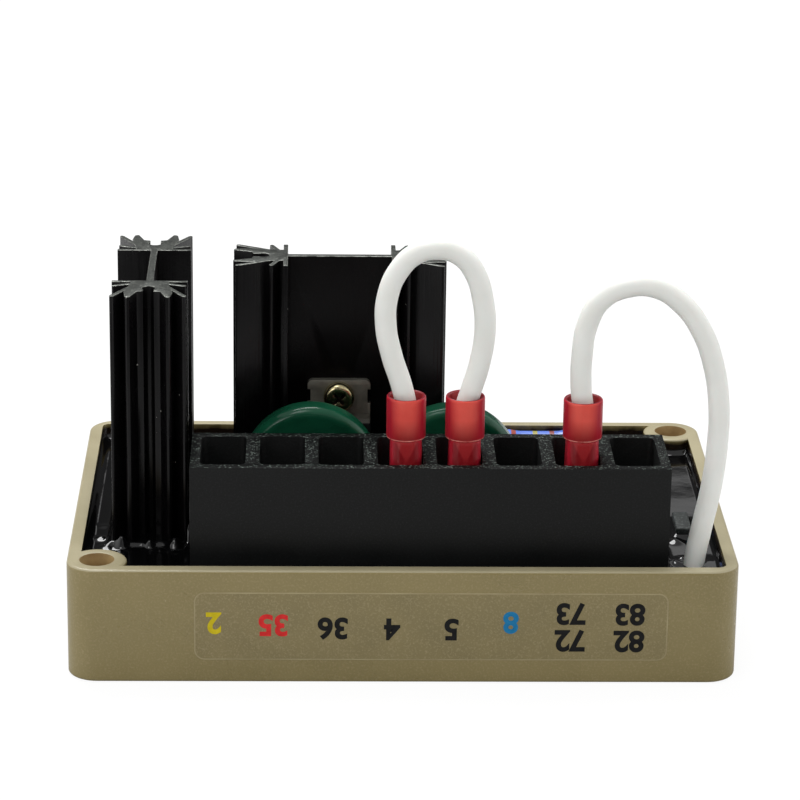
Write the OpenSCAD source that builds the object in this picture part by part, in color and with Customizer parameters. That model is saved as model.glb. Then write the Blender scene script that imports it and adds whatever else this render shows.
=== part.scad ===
// Automatic voltage regulator: a potted control module in an open moulded tray.
// Millimetres. The origin is the centre of the tray's underside, +Z is up, +X runs
// along the row of terminals and -Y points to the side that the terminals stand on.

/* [Case] */
// Outside length of the tray
case_length = 100; // [98:0.5:130]
// Outside depth of the tray
case_depth = 67.3; // [66:0.1:90]
// Height of the rim above the underside
case_height = 17.8; // [16:0.1:24]
// Thickness of the side walls
case_wall = 2; // [1.6:0.1:2.6]
// Thickness of the floor
case_floor = 2; // [1.5:0.1:3]
// Outside radius of the corners and of the two screw bosses
corner_radius = 4.5; // [4:0.1:5.5]
// Radius of the tray's inner corners
inner_corner = 1.3; // [0.8:0.1:2]
// Radius that softens the tray's outer edges, top and bottom
rim_round = 0.5; // [0.3:0.1:0.8]
// Diameter of the two mounting holes
mount_hole_d = 5.2; // [3:0.1:6]
// Diameter of the pads that carry the board
pad_d = 5; // [3:0.5:6]
// Height of those pads above the floor
pad_height = 1.4; // [1:0.1:2]
// Distance from the inner walls to the middle of each pad
pad_inset = 7.5; // [6:0.5:10]

/* [Circuit board] */
// Thickness of the board
board_thickness = 1.6; // [1:0.1:2]
// Room between the board's edge and the tray
board_gap = 1; // [0.5:0.1:1.5]
// Room around each lead in its hole in the board
lead_hole_gap = 0.1; // [0.05:0.05:0.2]
// Height above the floor at which the leads are cut off
lead_foot_gap = 0.6; // [0.3:0.1:0.9]

/* [Potting] */
// Depth of the potting's surface below the rim
potting_drop = 2.4; // [1.6:0.1:4]
// Room between the potting and each piece that it holds
potting_gap = 0.05; // [0.02:0.01:0.1]

/* [Heat sinks] */
// Height of each sink
sink_height = 50; // [40:0.5:65]
// Length of the extruded section, from fin tips to fin tips
sink_length = 32.8; // [32:0.1:36]
// Width of the section across the fins
sink_width = 11.4; // [11:0.1:12.4]
// Thickness of the web between the two groups of fins
web_thickness = 1.05; // [0.8:0.05:1.4]
// Thickness of each fin
fin_thickness = 0.7; // [0.5:0.05:0.9]
// Length of the group of fins at each end
fin_group = 8.4; // [8:0.1:9]
// Half the width of the solid root that the fins grow from
root_half = 2.75; // [2.4:0.05:3]
// Diameter of the round groove for the solder pin
groove_d = 2; // [1.6:0.1:2.2]
// Distance of the groove's middle from the web
groove_reach = 3.85; // [3.6:0.05:4.2]
// Room between the solder pin and its groove
pin_gap = 0.05; // [0.02:0.01:0.1]
// Length of the solder pin inside its groove
pin_grip = 8; // [4:0.5:15]
// Room between the left sink and the left wall
left_sink_side = 4.15; // [3:0.05:5]
// Room between the left sink and the front wall
left_sink_front = 14.1; // [12:0.1:18]
// Room between the two sinks
sink_spacing = 6.6; // [3:0.1:8]
// Room between the varistors and the rear sink
rear_sink_gap = 3; // [2:0.1:5]

/* [Power devices] */
// Width of the metal tab
tab_width = 9.8; // [9:0.1:10.6]
// Thickness of the metal tab
tab_thickness = 1.3; // [1:0.05:1.5]
// Height of the tab's top edge above the board
tab_top = 30.6; // [26:0.1:36]
// Height of the tab, with the part behind the plastic body
tab_height = 15; // [14:0.1:16]
// Depth of the notch in each side of the tab
tab_notch = 0.45; // [0.2:0.05:0.7]
// Diameter of the hole in the tab
tab_hole_d = 3.6; // [3:0.1:4]
// Distance of the hole below the tab's top edge
tab_hole_drop = 3; // [2.6:0.1:3.4]
// Height of the plastic body
device_body_height = 9.2; // [8:0.1:9.6]
// Thickness of the plastic body in front of the tab
device_body_depth = 3.1; // [2.6:0.1:3.3]
// Slope cut from the plastic body's upper and lower front edges
device_chamfer = 0.6; // [0.2:0.1:1]
// Distance between neighbouring leads
device_pitch = 2.54; // [2.3:0.02:2.7]
// Width of each lead
device_lead_width = 0.8; // [0.6:0.05:1]
// Thickness of each lead
device_lead_thickness = 0.5; // [0.4:0.05:0.6]
// Diameter of the screw's shank
screw_d = 2.5; // [2:0.1:3]
// Diameter of the screw's head
screw_head_d = 4.8; // [4.4:0.1:6]
// Height of the screw's head
screw_head_height = 1.7; // [1.2:0.1:2.4]
// Width across the nut's flats
nut_flats = 5; // [4.5:0.1:6]
// Height of the nut
nut_height = 2; // [1.4:0.1:2.4]
// Length of screw that stands out of the nut
screw_end = 0.8; // [0.3:0.1:1.5]
// Room between the screw and the holes in the web and the nut
screw_gap = 0.05; // [0.02:0.01:0.15]

/* [Terminal housing] */
// Inside width of a cell
cell_width = 6.8; // [6.6:0.05:7.2]
// Inside depth of a cell, front to back
cell_depth = 12.4; // [12:0.1:13]
// Radius of a cell's corners
cell_corner = 1; // [0.5:0.1:2]
// Thickness of the housing's front and back walls
housing_face_wall = 1.55; // [1.2:0.05:2]
// Thickness of the housing's end walls
housing_end_wall = 1.45; // [1.2:0.05:2]
// Thickness of the housing's floor
housing_floor = 3; // [2:0.1:6]
// Height of the housing above the board
housing_height = 26.9; // [24:0.1:32]
// Room between the housing and the front wall
housing_front = 3.65; // [2.5:0.05:5]
// Room between the housing and the left sink
housing_side = 0.7; // [0.3:0.05:1.2]
// Room between the housing and the right wall, where a lead comes up
housing_right = 8.38; // [7:0.01:12]

/* [Blade terminals] */
// Width of the blade
blade_width = 6.3; // [6:0.1:6.4]
// Thickness of the blade
blade_thickness = 0.8; // [0.7:0.05:0.9]
// Height of the blade's tip above the board
blade_reach = 20.4; // [18:0.1:22]
// Length of the slope at the blade's tip
blade_tip = 1.2; // [0.6:0.1:1.5]
// Diameter of the hole that a connector snaps into
blade_hole_d = 1.7; // [1.2:0.1:2]
// Distance of that hole below the tip
blade_hole_drop = 3.6; // [3:0.1:4]
// Width of each of the blade's two solder tails
blade_tail = 1.2; // [0.8:0.1:1.6]
// Distance of the blade from the middle of its cell
blade_offset = 0.85; // [0:0.05:0.95]
// Room between the blade and the slot in the housing's floor
blade_slot_gap = 0.1; // [0.05:0.05:0.2]

/* [Push-on connectors] */
// Diameter of the sleeve's round end
sleeve_d = 5.9; // [5.6:0.1:6.2]
// Height of the sleeve's top above the board
sleeve_top = 35.4; // [34.5:0.1:38]
// Height above the board at which the round end begins
sleeve_step = 29.3; // [28.8:0.1:30.2]
// Height of the sleeve's lower end above the board
sleeve_foot = 13.4; // [11:0.1:14.4]
// Thickness of the sleeve's flat part
sleeve_flat = 4.7; // [4.4:0.05:4.9]
// Width of the sleeve's flat part
sleeve_width = 9.4; // [9:0.1:10]
// Radius of the flat part's corners
sleeve_corner = 1.6; // [0.8:0.1:2]
// Thickness of the sleeve's wall
sleeve_wall = 0.5; // [0.4:0.05:0.6]
// Diameter of the receptacle's crimped barrel
barrel_d = 3.3; // [3.2:0.05:3.4]
// Height of that barrel's end above the board
barrel_top = 31.6; // [30.6:0.1:31.6]
// Length of that barrel
barrel_length = 6; // [5:0.1:7]
// Thickness of the receptacle's metal
receptacle_metal = 0.4; // [0.3:0.05:0.45]
// Room between the receptacle and the blade
receptacle_gap = 0.05; // [0.02:0.01:0.1]
// Length of the receptacle's folded part
receptacle_grip = 7.6; // [7:0.1:8]
// Width of the lips that fold over the blade
receptacle_lip = 2.2; // [1.6:0.1:2.6]
// Width of the neck between the folded part and the barrel
receptacle_neck = 2.4; // [2:0.1:3]

/* [Varistors] */
// Diameter of each disc
varistor_d = 21; // [18:0.1:21.4]
// Thickness of each disc
varistor_thickness = 5; // [4:0.1:5.6]
// Radius of the disc's rounded rim
varistor_rim = 1.2; // [0.6:0.1:1.8]
// Height of the disc's lower edge above the board
varistor_stand = 9; // [6:0.1:10]
// Room between the two discs
varistor_spacing = 0.7; // [0.4:0.05:2]
// Room between the left disc and the left sink
varistor_side = 8.15; // [6:0.05:10]
// Room between the housing and the discs
varistor_gap = 3.5; // [2:0.1:5]
// Distance between a disc's two leads
varistor_pitch = 7.5; // [5:0.1:10]
// Diameter of the discs' leads
varistor_lead_d = 0.8; // [0.6:0.05:1]

/* [Banded resistor] */
// Diameter of the resistor's end beads
resistor_d = 4.6; // [4:0.1:5]
// Diameter of its waist
resistor_waist_d = 4.2; // [3.6:0.1:4.6]
// Length of its body
resistor_length = 13; // [11:0.1:15]
// Length of each end bead
resistor_bead = 3.4; // [2.5:0.1:4]
// Height of its axis above the board
resistor_axis = 11.5; // [9:0.1:12]
// Length of lead between its body and the bend
resistor_bend = 1.6; // [1:0.1:3]
// Diameter of its leads
resistor_lead_d = 0.8; // [0.6:0.05:1]
// Distance of its axis from the rear wall
resistor_back = 5.15; // [4:0.05:7]
// Distance of its middle from the right wall
resistor_side = 24.5; // [20:0.1:27]

/* [Block capacitor] */
// Width of the capacitor's body
capacitor_width = 2.4; // [2:0.1:3]
// Length of its body, front to back
capacitor_length = 7.4; // [6.5:0.1:8]
// Height of its body
capacitor_height = 9; // [7:0.1:11]
// Room between its body and the board
capacitor_stand = 3; // [0.5:0.1:4]
// Distance between its leads
capacitor_pitch = 5; // [4:0.1:5.5]
// Diameter of its leads
capacitor_lead_d = 0.6; // [0.5:0.05:0.8]
// Distance of its middle from the right wall
capacitor_side = 4.5; // [3:0.1:5]
// Distance of its middle from the front wall
capacitor_front = 21.85; // [19:0.05:30]

/* [Trimmers] */
// Side of the trimmer's square body
trimmer_side = 9.5; // [8:0.1:10]
// Height of that body
trimmer_height = 11.6; // [11:0.1:12.4]
// Diameter of the rotor
rotor_d = 6.4; // [5:0.1:7]
// Depth of the round seat that the rotor turns in
rotor_seat = 1.2; // [0.8:0.1:2]
// Height of the rotor above the body
rotor_proud = 0.4; // [0.1:0.1:0.8]
// Diameter of the rotor's stub shaft
stub_d = 2; // [1.5:0.1:3]
// Length of the stub shaft
stub_length = 2; // [1:0.1:4]
// Running room around the stub shaft and the rotor
running_gap = 0.06; // [0.02:0.01:0.1]
// Width of the screwdriver slot
slot_width = 0.9; // [0.6:0.1:1.4]
// Depth of the screwdriver slot
slot_depth = 0.8; // [0.4:0.1:1]
// Diameter of the trimmer's pins
trimmer_pin_d = 0.6; // [0.4:0.05:0.8]
// Distance between neighbouring pins
trimmer_pitch = 2.54; // [2:0.02:3]
// Distance of the right trimmer's middle from the right wall
trimmer_edge = 12; // [9:0.1:14]
// Distance between the two trimmers' middles
trimmer_spacing = 13; // [11.5:0.1:15]
// Distance of the trimmers' middles from the rear wall
trimmer_back = 23.65; // [18:0.05:26]

/* [Leads] */
// Diameter of the white leads over their insulation
wire_d = 3.2; // [2.8:0.1:3.3]

/* [Hidden] */
$fn = 64;
// Sides of the white leads' tubes
wire_sides = 8;
// A hair's breadth by which a cutting shape passes the face that it cuts
over = 0.5;

// The number of cells in the housing, and the cells that hold a connector
cells = 8;
plugged = [4, 5, 7];
plugs = len(plugged);

// Inner faces of the tray
inner_x = case_length / 2 - case_wall;
inner_y = case_depth / 2 - case_wall;
boss_x = case_length / 2 - corner_radius;
boss_y = case_depth / 2 - corner_radius;
bosses = [[-boss_x, -boss_y], [boss_x, boss_y]];
pads = [for (sx = [-1, 1]) for (sy = [-1, 1]) [sx * (inner_x - pad_inset), sy * (inner_y - pad_inset)]];

// Levels
board_bottom = case_floor + pad_height;
board_top = board_bottom + board_thickness;
potting_top = case_height - potting_drop;
lead_foot = case_floor + lead_foot_gap;

// Places of the tall pieces, each from its neighbour
half_width = sink_width / 2;
half_length = sink_length / 2;
left_sink = [-inner_x + left_sink_side + half_width, -inner_y + left_sink_front + half_length];
left_sink_right = left_sink[0] + half_width;
housing_ends = [left_sink_right + housing_side, inner_x - housing_right];
housing_length = housing_ends[1] - housing_ends[0];
housing_depth = cell_depth + 2 * housing_face_wall;
cell_pitch = (housing_length - cell_width - 2 * housing_end_wall) / (cells - 1);
housing_x = (housing_ends[0] + housing_ends[1]) / 2;
housing_y = -inner_y + housing_front + housing_depth / 2;
housing_back = housing_y + housing_depth / 2;
varistor_r = varistor_d / 2;
varistor_y = housing_back + varistor_gap + varistor_thickness / 2;
varistor_z = board_top + varistor_stand + varistor_r;
varistor_left_x = left_sink_right + varistor_side + varistor_r;
varistor_right_x = varistor_left_x + varistor_d + varistor_spacing;
rear_sink = [
    left_sink_right + sink_spacing + half_length,
    varistor_y + varistor_thickness / 2 + rear_sink_gap + half_width
];
resistor = [inner_x - resistor_side, inner_y - resistor_back, board_top + resistor_axis];
capacitor = [inner_x - capacitor_side, -inner_y + capacitor_front];
stability_trimmer = [inner_x - trimmer_edge, inner_y - trimmer_back];
voltage_trimmer = [stability_trimmer[0] - trimmer_spacing, stability_trimmer[1]];
trimmer_top = board_top + trimmer_height;

// Power devices: the screw's height, the tab's foot and the plastic body's top
device_screw_z = board_top + tab_top - tab_hole_drop;
tab_foot = board_top + tab_top - tab_height;
device_body_top = tab_foot + device_body_height;
web_half = web_thickness / 2;
web_hole_d = screw_d + 2 * screw_gap;
device_lead_out = tab_thickness + device_body_depth / 3;

// Heat sink section, measured out from the web and sideways from its middle
fin_tip = half_width - fin_thickness / 4;
first_fin = [[1.4, root_half - 0.45], [2.65, fin_tip]];
second_fin = [[2.8, root_half - 0.1], [fin_group - 0.4, fin_tip]];
groove_mouth = 0.8 * groove_d;
leaf_half = [
    [0, root_half], [2.8, root_half + 0.35], [6, root_half + 0.9], [fin_group - 0.3, root_half + 0.65],
    [fin_group, root_half + 0.35], [fin_group, root_half - 0.05], [fin_group - 2.8, root_half - 1],
    [fin_group - 3, groove_d / 2]
];
groove_offset = half_length - fin_group + groove_reach;

// Terminals and connectors
tail_offset = blade_width / 2 - blade_tail / 2;
receptacle_foot = sleeve_foot + 0.2;
sleeve_bore_d = barrel_d + 2 * receptacle_gap;
lip_inner = blade_thickness / 2 + receptacle_gap;
lip_outer = lip_inner + receptacle_metal;
fold_inner = blade_width / 2 + receptacle_gap;
fold_outer = fold_inner + receptacle_metal;

// Routes of the white leads
jumper_route = [
    [0.4, -20.2, 36.6], [0.4, -20.2, 38.6], [-0.3, -20.2, 42], [-1.9, -20.2, 47], [-2.8, -20.2, 51.5],
    [-2.6, -20.2, 56], [-1, -20.2, 59.8], [1.6, -20.2, 62.3], [4.7, -20.2, 63], [7.8, -20.2, 62.2],
    [10.2, -20.2, 59.5], [11.5, -20.2, 55.5], [11.9, -20.2, 51], [11.2, -20.2, 45.8],
    [10, -20.2, 41.5], [9.2, -20.2, 38.6], [9.2, -20.2, 36.6]
];
lead_route = [
    [43.9, -24.5, 5], [43.9, -24.5, 15.8], [44.8, -23.8, 20.7], [46.2, -22.9, 27.5], [46.9, -22.3, 34],
    [46.9, -22, 40], [45.8, -21.6, 46.5], [43.9, -21.3, 51.3], [40.8, -21, 55.2], [37, -20.7, 57.4],
    [32.8, -20.5, 57.4], [29.2, -20.3, 55.6], [27.1, -20.2, 52], [26.4, -20.2, 47], [26.4, -20.2, 42],
    [26.8, -20.2, 38.6], [26.8, -20.2, 36.6]
];

// Middle of a cell, and of the blade in it
function cell_x(i) = housing_x + (i - (cells + 1) / 2) * cell_pitch;
function blade_x(i) = cell_x(i) + blade_offset;
function plug_x(i) = blade_x(plugged[i - 1]);

// The unit vector along v
function unit(v) = v / norm(v);

// Direction of a route at point i
function heading(route, i) =
    unit(route[min(i + 1, len(route) - 1)] - route[max(i - 1, 0)]);

// Points of the ring around a route's point i, for routes that never run along Y
function ring(route, i, r) =
    let (ahead = heading(route, i), side = unit(cross([0, 1, 0], ahead)), back = cross(ahead, side))
    [for (k = [0 : wire_sides - 1])
        let (a = 360 * k / wire_sides) route[i] + r * (cos(a) * side + sin(a) * back)];

// A plain tube along a route, closed at both ends
module tube(route, d) {
    last = len(route) - 1;
    points = [for (i = [0 : last]) each ring(route, i, d / 2)];
    walls = [for (i = [0 : last - 1]) for (k = [0 : wire_sides - 1])
        let (m = (k + 1) % wire_sides, a = i * wire_sides, b = a + wire_sides)
        [a + k, b + k, b + m, a + m]];
    start = [for (k = [0 : wire_sides - 1]) k];
    finish = [for (k = [wire_sides - 1 : -1 : 0]) last * wire_sides + k];
    polyhedron(points, concat([start], walls, [finish]), convexity = 8);
}

// A rectangle with round corners, centred
module round_rectangle(size, r) {
    square([size[0] - 2 * r, size[1]], center = true);
    square([size[0], size[1] - 2 * r], center = true);
    for (sx = [-1, 1])
        for (sy = [-1, 1])
            translate([sx * (size[0] / 2 - r), sy * (size[1] / 2 - r)])
                circle(r);
}

// A straight round lead from the board's solder side up to a height
module lead(place, d, top) {
    translate([place[0], place[1], lead_foot])
        cylinder(d = d, h = top - lead_foot);
}

// A straight fin in the section, from its root to its blunt tip, grown by a gap
module fin(from, to, gap) {
    run = to - from;
    half = fin_thickness / 2 + gap;
    reach = norm(run) + gap;
    translate(from)
        rotate(atan2(run[1], run[0]))
            polygon([
                [0, -half], [reach - half, -half], [reach, -half / 2],
                [reach, half / 2], [reach - half, half], [0, half]
            ]);
}

// One group of fins, growing along +X from the web's end at the origin
module fin_end(gap) {
    translate([-gap, -half_width - gap])
        square([fin_thickness + 2 * gap, sink_width + 2 * gap]);
    difference() {
        polygon(concat(
            [for (p = leaf_half) [p[0], -p[1]]],
            [for (i = [len(leaf_half) - 1 : -1 : 0]) leaf_half[i]]
        ));
        translate([groove_reach, 0])
            circle(d = groove_d - 2 * gap);
        translate([groove_reach, gap - groove_mouth / 2])
            square([fin_group, groove_mouth - 2 * gap]);
    }
    for (side = [-1, 1])
        for (line = [first_fin, second_fin])
            fin([line[0][0], side * line[0][1]], [line[1][0], side * line[1][1]], gap);
}

// The extrusion's section with its web along X, grown by a gap
module sink_section(gap = 0) {
    web_length = sink_length - 2 * fin_group + fin_thickness;
    square([web_length, web_thickness + 2 * gap], center = true);
    for (end = [0, 180])
        rotate(end)
            translate([half_length - fin_group, 0])
                fin_end(gap);
}

// Children drawn for the rear sink, then turned and drawn for the left sink
module at_rear_sink() {
    translate([rear_sink[0], rear_sink[1], 0])
        children();
}

module at_left_sink() {
    translate([left_sink[0], left_sink[1], 0])
        rotate(90)
            children();
}

// A sink in its own frame, standing on the board, with the screw's hole
module sink() {
    difference() {
        translate([0, 0, board_top])
            linear_extrude(sink_height)
                sink_section();
        translate([0, 0, device_screw_z])
            rotate([90, 0, 0])
                cylinder(d = web_hole_d, h = sink_width, center = true);
    }
}

// The two solder pins of one sink, in the sink's own frame
module sink_pins(gap = 0) {
    pin_r = groove_d / 2 - pin_gap + gap;
    for (end = [-1, 1])
        translate([end * groove_offset, 0, lead_foot])
            cylinder(r = pin_r, h = board_top + pin_grip - lead_foot);
}

// A device's metal tab in the sink's frame, flat on the web's front face
module device_tab() {
    difference() {
        translate([-tab_width / 2, -web_half - tab_thickness, tab_foot])
            cube([tab_width, tab_thickness, tab_height]);
        translate([0, -web_half, device_screw_z])
            rotate([90, 0, 0])
                cylinder(d = tab_hole_d, h = 3 * tab_thickness, center = true);
        for (side = [-1, 1])
            translate([side * tab_width / 2, -web_half, device_screw_z])
                cube([2 * tab_notch, 3 * tab_thickness, tab_hole_drop * 0.75], center = true);
    }
}

// A device's plastic body, in front of the lower part of the tab
module device_body() {
    c = device_chamfer;
    h = device_body_height;
    d = device_body_depth;
    translate([-tab_width / 2, -web_half - tab_thickness, tab_foot])
        rotate([90, 0, 90])
            linear_extrude(tab_width)
                polygon([[0, 0], [0, h], [-d + c, h], [-d, h - c], [-d, c], [-d + c, 0]]);
}

// A device's three leads, from under its body down through the board
module device_legs(gap = 0) {
    for (i = [-1 : 1])
        translate([
            i * device_pitch - device_lead_width / 2 - gap,
            -web_half - device_lead_out - device_lead_thickness / 2 - gap,
            lead_foot
        ])
            cube([device_lead_width + 2 * gap, device_lead_thickness + 2 * gap, tab_foot - lead_foot]);
}

// The screw in the sink's frame, its head on the tab and its end past the nut
module device_screw() {
    run = tab_thickness + web_thickness + nut_height + screw_end;
    translate([0, -web_half - tab_thickness, device_screw_z])
        rotate([-90, 0, 0]) {
            cylinder(d = screw_d, h = run);
            translate([0, 0, -screw_head_height])
                cylinder(d = screw_head_d, h = screw_head_height);
        }
}

// The nut in the sink's frame, flat on the web's back face
module device_nut() {
    translate([0, web_half, device_screw_z])
        rotate([-90, 0, 0])
            difference() {
                cylinder(d = nut_flats / cos(30), h = nut_height, $fn = 6);
                translate([0, 0, -over])
                    cylinder(d = web_hole_d, h = nut_height + 2 * over);
            }
}

// The tray's inner outline, drawn in by a gap
module inner_outline(gap = 0) {
    round_rectangle([2 * (inner_x - gap), 2 * (inner_y - gap)], inner_corner);
}

// Half the upright section of a block that reaches out from Z, its outer edges softened
module edge_profile(reach) {
    intersection() {
        union() {
            square([reach - rim_round, case_height]);
            translate([0, rim_round])
                square([reach, case_height - 2 * rim_round]);
            for (z = [rim_round, case_height - rim_round])
                translate([reach - rim_round, z])
                    circle(rim_round);
        }
        square([reach, case_height]);
    }
}

// The tray's outer block: a turned corner at each end of the straight runs
module soft_block() {
    for (sx = [-1, 1])
        for (sy = [-1, 1])
            translate([sx * boss_x, sy * boss_y, 0])
                rotate_extrude()
                    edge_profile(corner_radius);
    for (turn = [0, 180])
        rotate(turn)
            translate([-boss_x, 0, 0])
                rotate([90, 0, 90])
                    linear_extrude(2 * boss_x)
                        edge_profile(case_depth / 2);
    for (turn = [90, 270])
        rotate(turn)
            translate([-boss_y, 0, 0])
                rotate([90, 0, 90])
                    linear_extrude(2 * boss_y)
                        edge_profile(case_length / 2);
}

module case() {
    color("tan")
        difference() {
            union() {
                difference() {
                    soft_block();
                    translate([0, 0, case_floor])
                        linear_extrude(case_height)
                            inner_outline();
                }
                for (place = bosses)
                    translate(place)
                        rotate_extrude()
                            edge_profile(corner_radius);
                for (place = pads)
                    translate([place[0], place[1], case_floor / 2])
                        cylinder(d = pad_d, h = board_bottom - case_floor / 2);
            }
            for (place = bosses)
                translate([place[0], place[1], -over])
                    cylinder(d = mount_hole_d, h = case_height + 2 * over);
        }
}

// All leads that go through the board, grown by a gap
module board_leads(gap) {
    varistor_legs(gap);
    resistor_legs(gap);
    capacitor_legs(gap);
    trimmer_legs(gap);
    at_rear_sink() {
        device_legs(gap);
        sink_pins(gap);
    }
    at_left_sink() {
        device_legs(gap);
        sink_pins(gap);
    }
}

// The board's plate, without the holes for leads
module board_plate(gap = 0) {
    edge = board_gap - gap;
    difference() {
        translate([-inner_x + edge, -inner_y + edge, board_bottom])
            cube([2 * (inner_x - edge), 2 * (inner_y - edge), board_thickness]);
        for (place = bosses)
            translate([place[0], place[1], board_bottom - over])
                cylinder(r = corner_radius + edge, h = board_thickness + 2 * over);
    }
}

module circuit_board() {
    color("darkgreen")
        difference() {
            board_plate();
            board_leads(lead_hole_gap);
            for (i = [1 : cells])
                blade_tails(i, lead_hole_gap);
        }
}

// The tails of one blade, below the board's top
module blade_tails(i, gap = 0) {
    for (side = [-1, 1])
        translate([
            blade_x(i) - blade_thickness / 2 - gap,
            housing_y + side * tail_offset - blade_tail / 2 - gap,
            lead_foot
        ])
            cube([blade_thickness + 2 * gap, blade_tail + 2 * gap, board_top + over - lead_foot]);
}

// The housing's outer block, grown by a gap
module housing_block(gap = 0) {
    translate([housing_x, housing_y, board_top])
        linear_extrude(housing_height)
            square([housing_length + 2 * gap, housing_depth + 2 * gap], center = true);
}

module terminal_housing() {
    color("black")
        difference() {
            housing_block();
            for (i = [1 : cells]) {
                translate([cell_x(i), housing_y, board_top + housing_floor])
                    linear_extrude(housing_height)
                        round_rectangle([cell_width, cell_depth], cell_corner);
                translate([blade_x(i), housing_y, board_top + housing_floor / 2])
                    cube([
                        blade_thickness + 2 * blade_slot_gap,
                        blade_width + 2 * blade_slot_gap,
                        housing_floor + 2 * over
                    ], center = true);
            }
        }
}

module blade_terminal(i) {
    half = blade_width / 2;
    tip = board_top + blade_reach;
    color("silver")
        difference() {
            union() {
                blade_tails(i);
                translate([blade_x(i) - blade_thickness / 2, housing_y, 0])
                    rotate([90, 0, 90])
                        linear_extrude(blade_thickness)
                            polygon([
                                [-half, board_top], [half, board_top], [half, tip - blade_tip],
                                [half - blade_tip, tip], [blade_tip - half, tip], [-half, tip - blade_tip]
                            ]);
            }
            translate([blade_x(i), housing_y, tip - blade_hole_drop])
                rotate([0, 90, 0])
                    cylinder(d = blade_hole_d, h = 3 * blade_thickness, center = true);
        }
}

module left_heat_sink() {
    color("dimgray")
        at_left_sink()
            sink();
}

module rear_heat_sink() {
    color("dimgray")
        at_rear_sink()
            sink();
}

module heat_sink_pins() {
    color("silver") {
        at_left_sink()
            sink_pins();
        at_rear_sink()
            sink_pins();
    }
}

module left_device_tab() {
    color("darkgray")
        at_left_sink()
            device_tab();
}

module left_device_body() {
    color("black")
        at_left_sink()
            device_body();
}

module rear_device_tab() {
    color("darkgray")
        at_rear_sink()
            device_tab();
}

module rear_device_body() {
    color("black")
        at_rear_sink()
            device_body();
}

module device_leads() {
    color("silver") {
        at_left_sink()
            device_legs();
        at_rear_sink()
            device_legs();
    }
}

module device_screws() {
    color("goldenrod") {
        at_left_sink()
            device_screw();
        at_rear_sink()
            device_screw();
    }
}

module device_nuts() {
    color("goldenrod") {
        at_left_sink()
            device_nut();
        at_rear_sink()
            device_nut();
    }
}

// One disc with a rounded rim, its axis along Y, grown by a gap
module varistor_disc(x, gap = 0) {
    r = varistor_r + gap;
    half = varistor_thickness / 2 + gap;
    translate([x, varistor_y, varistor_z])
        rotate([90, 0, 0])
            rotate_extrude() {
                translate([0, -half])
                    square([r - varistor_rim, 2 * half]);
                translate([0, varistor_rim - half])
                    square([r, 2 * (half - varistor_rim)]);
                for (side = [-1, 1])
                    translate([r - varistor_rim, side * (half - varistor_rim)])
                        circle(varistor_rim);
            }
}

// Both discs' leads, grown by a gap, each ending where it meets its disc
module varistor_legs(gap = 0) {
    drop = varistor_r - sqrt(pow(varistor_r, 2) - pow(varistor_pitch / 2 + varistor_lead_d, 2));
    difference() {
        for (x = [varistor_left_x, varistor_right_x])
            for (side = [-1, 1])
                lead([x + side * varistor_pitch / 2, varistor_y], varistor_lead_d + 2 * gap,
                    varistor_z - varistor_r + drop + varistor_lead_d);
        varistor_disc(varistor_left_x);
        varistor_disc(varistor_right_x);
    }
}

module left_varistor() {
    color("seagreen")
        varistor_disc(varistor_left_x);
}

module right_varistor() {
    color("seagreen")
        varistor_disc(varistor_right_x);
}

module varistor_leads() {
    color("silver")
        varistor_legs();
}

// The resistor's body along X, with a bead at each end, grown by a gap
module resistor_body(gap = 0) {
    translate(resistor)
        rotate([0, 90, 0]) {
            cylinder(d = resistor_waist_d + 2 * gap, h = resistor_length - resistor_bead, center = true);
            for (side = [-1, 1])
                translate([0, 0, side * (resistor_length - resistor_bead) / 2])
                    cylinder(d = resistor_d + 2 * gap, h = resistor_bead + 2 * gap, center = true);
        }
}

// The resistor's two leads, out from its ends and down through the board
module resistor_legs(gap = 0) {
    d = resistor_lead_d + 2 * gap;
    for (side = [-1, 1]) {
        foot = [resistor[0] + side * (resistor_length / 2 + resistor_bend), resistor[1]];
        lead(foot, d, resistor[2]);
        translate([foot[0], foot[1], resistor[2]]) {
            sphere(d = d);
            rotate([0, -side * 90, 0])
                cylinder(d = d, h = resistor_bend);
        }
    }
}

module banded_resistor() {
    color("lightsteelblue")
        resistor_body();
}

module resistor_leads() {
    color("silver")
        resistor_legs();
}

// The capacitor's body, grown by a gap
module capacitor_block(gap = 0) {
    translate([capacitor[0], capacitor[1], board_top + capacitor_stand - gap])
        linear_extrude(capacitor_height + gap)
            square([capacitor_width + 2 * gap, capacitor_length + 2 * gap], center = true);
}

// The capacitor's two leads, from under its body down through the board
module capacitor_legs(gap = 0) {
    for (side = [-1, 1])
        lead([capacitor[0], capacitor[1] + side * capacitor_pitch / 2], capacitor_lead_d + 2 * gap,
            board_top + capacitor_stand);
}

module block_capacitor() {
    color("darkslategray")
        capacitor_block();
}

module capacitor_leads() {
    color("silver")
        capacitor_legs();
}

// A trimmer's square body, grown by a gap
module trimmer_block(place, gap = 0) {
    translate([place[0], place[1], board_top])
        linear_extrude(trimmer_height)
            square([trimmer_side + 2 * gap, trimmer_side + 2 * gap], center = true);
}

module trimmer_body(place) {
    color("royalblue")
        difference() {
            trimmer_block(place);
            translate([place[0], place[1], trimmer_top - rotor_seat])
                cylinder(d = rotor_d + 2 * running_gap, h = rotor_seat + over);
            translate([place[0], place[1], trimmer_top - rotor_seat - stub_length - running_gap])
                cylinder(d = stub_d + 2 * running_gap, h = stub_length + rotor_seat);
        }
}

module trimmer_rotor(place) {
    rotor_height = rotor_seat + rotor_proud;
    color("white")
        translate([place[0], place[1], trimmer_top - rotor_seat])
            difference() {
                union() {
                    cylinder(d = rotor_d, h = rotor_height);
                    translate([0, 0, -stub_length])
                        cylinder(d = stub_d, h = stub_length + rotor_height / 2);
                }
                translate([-rotor_d, -slot_width / 2, rotor_height - slot_depth])
                    cube([2 * rotor_d, slot_width, slot_depth + over]);
            }
}

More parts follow.
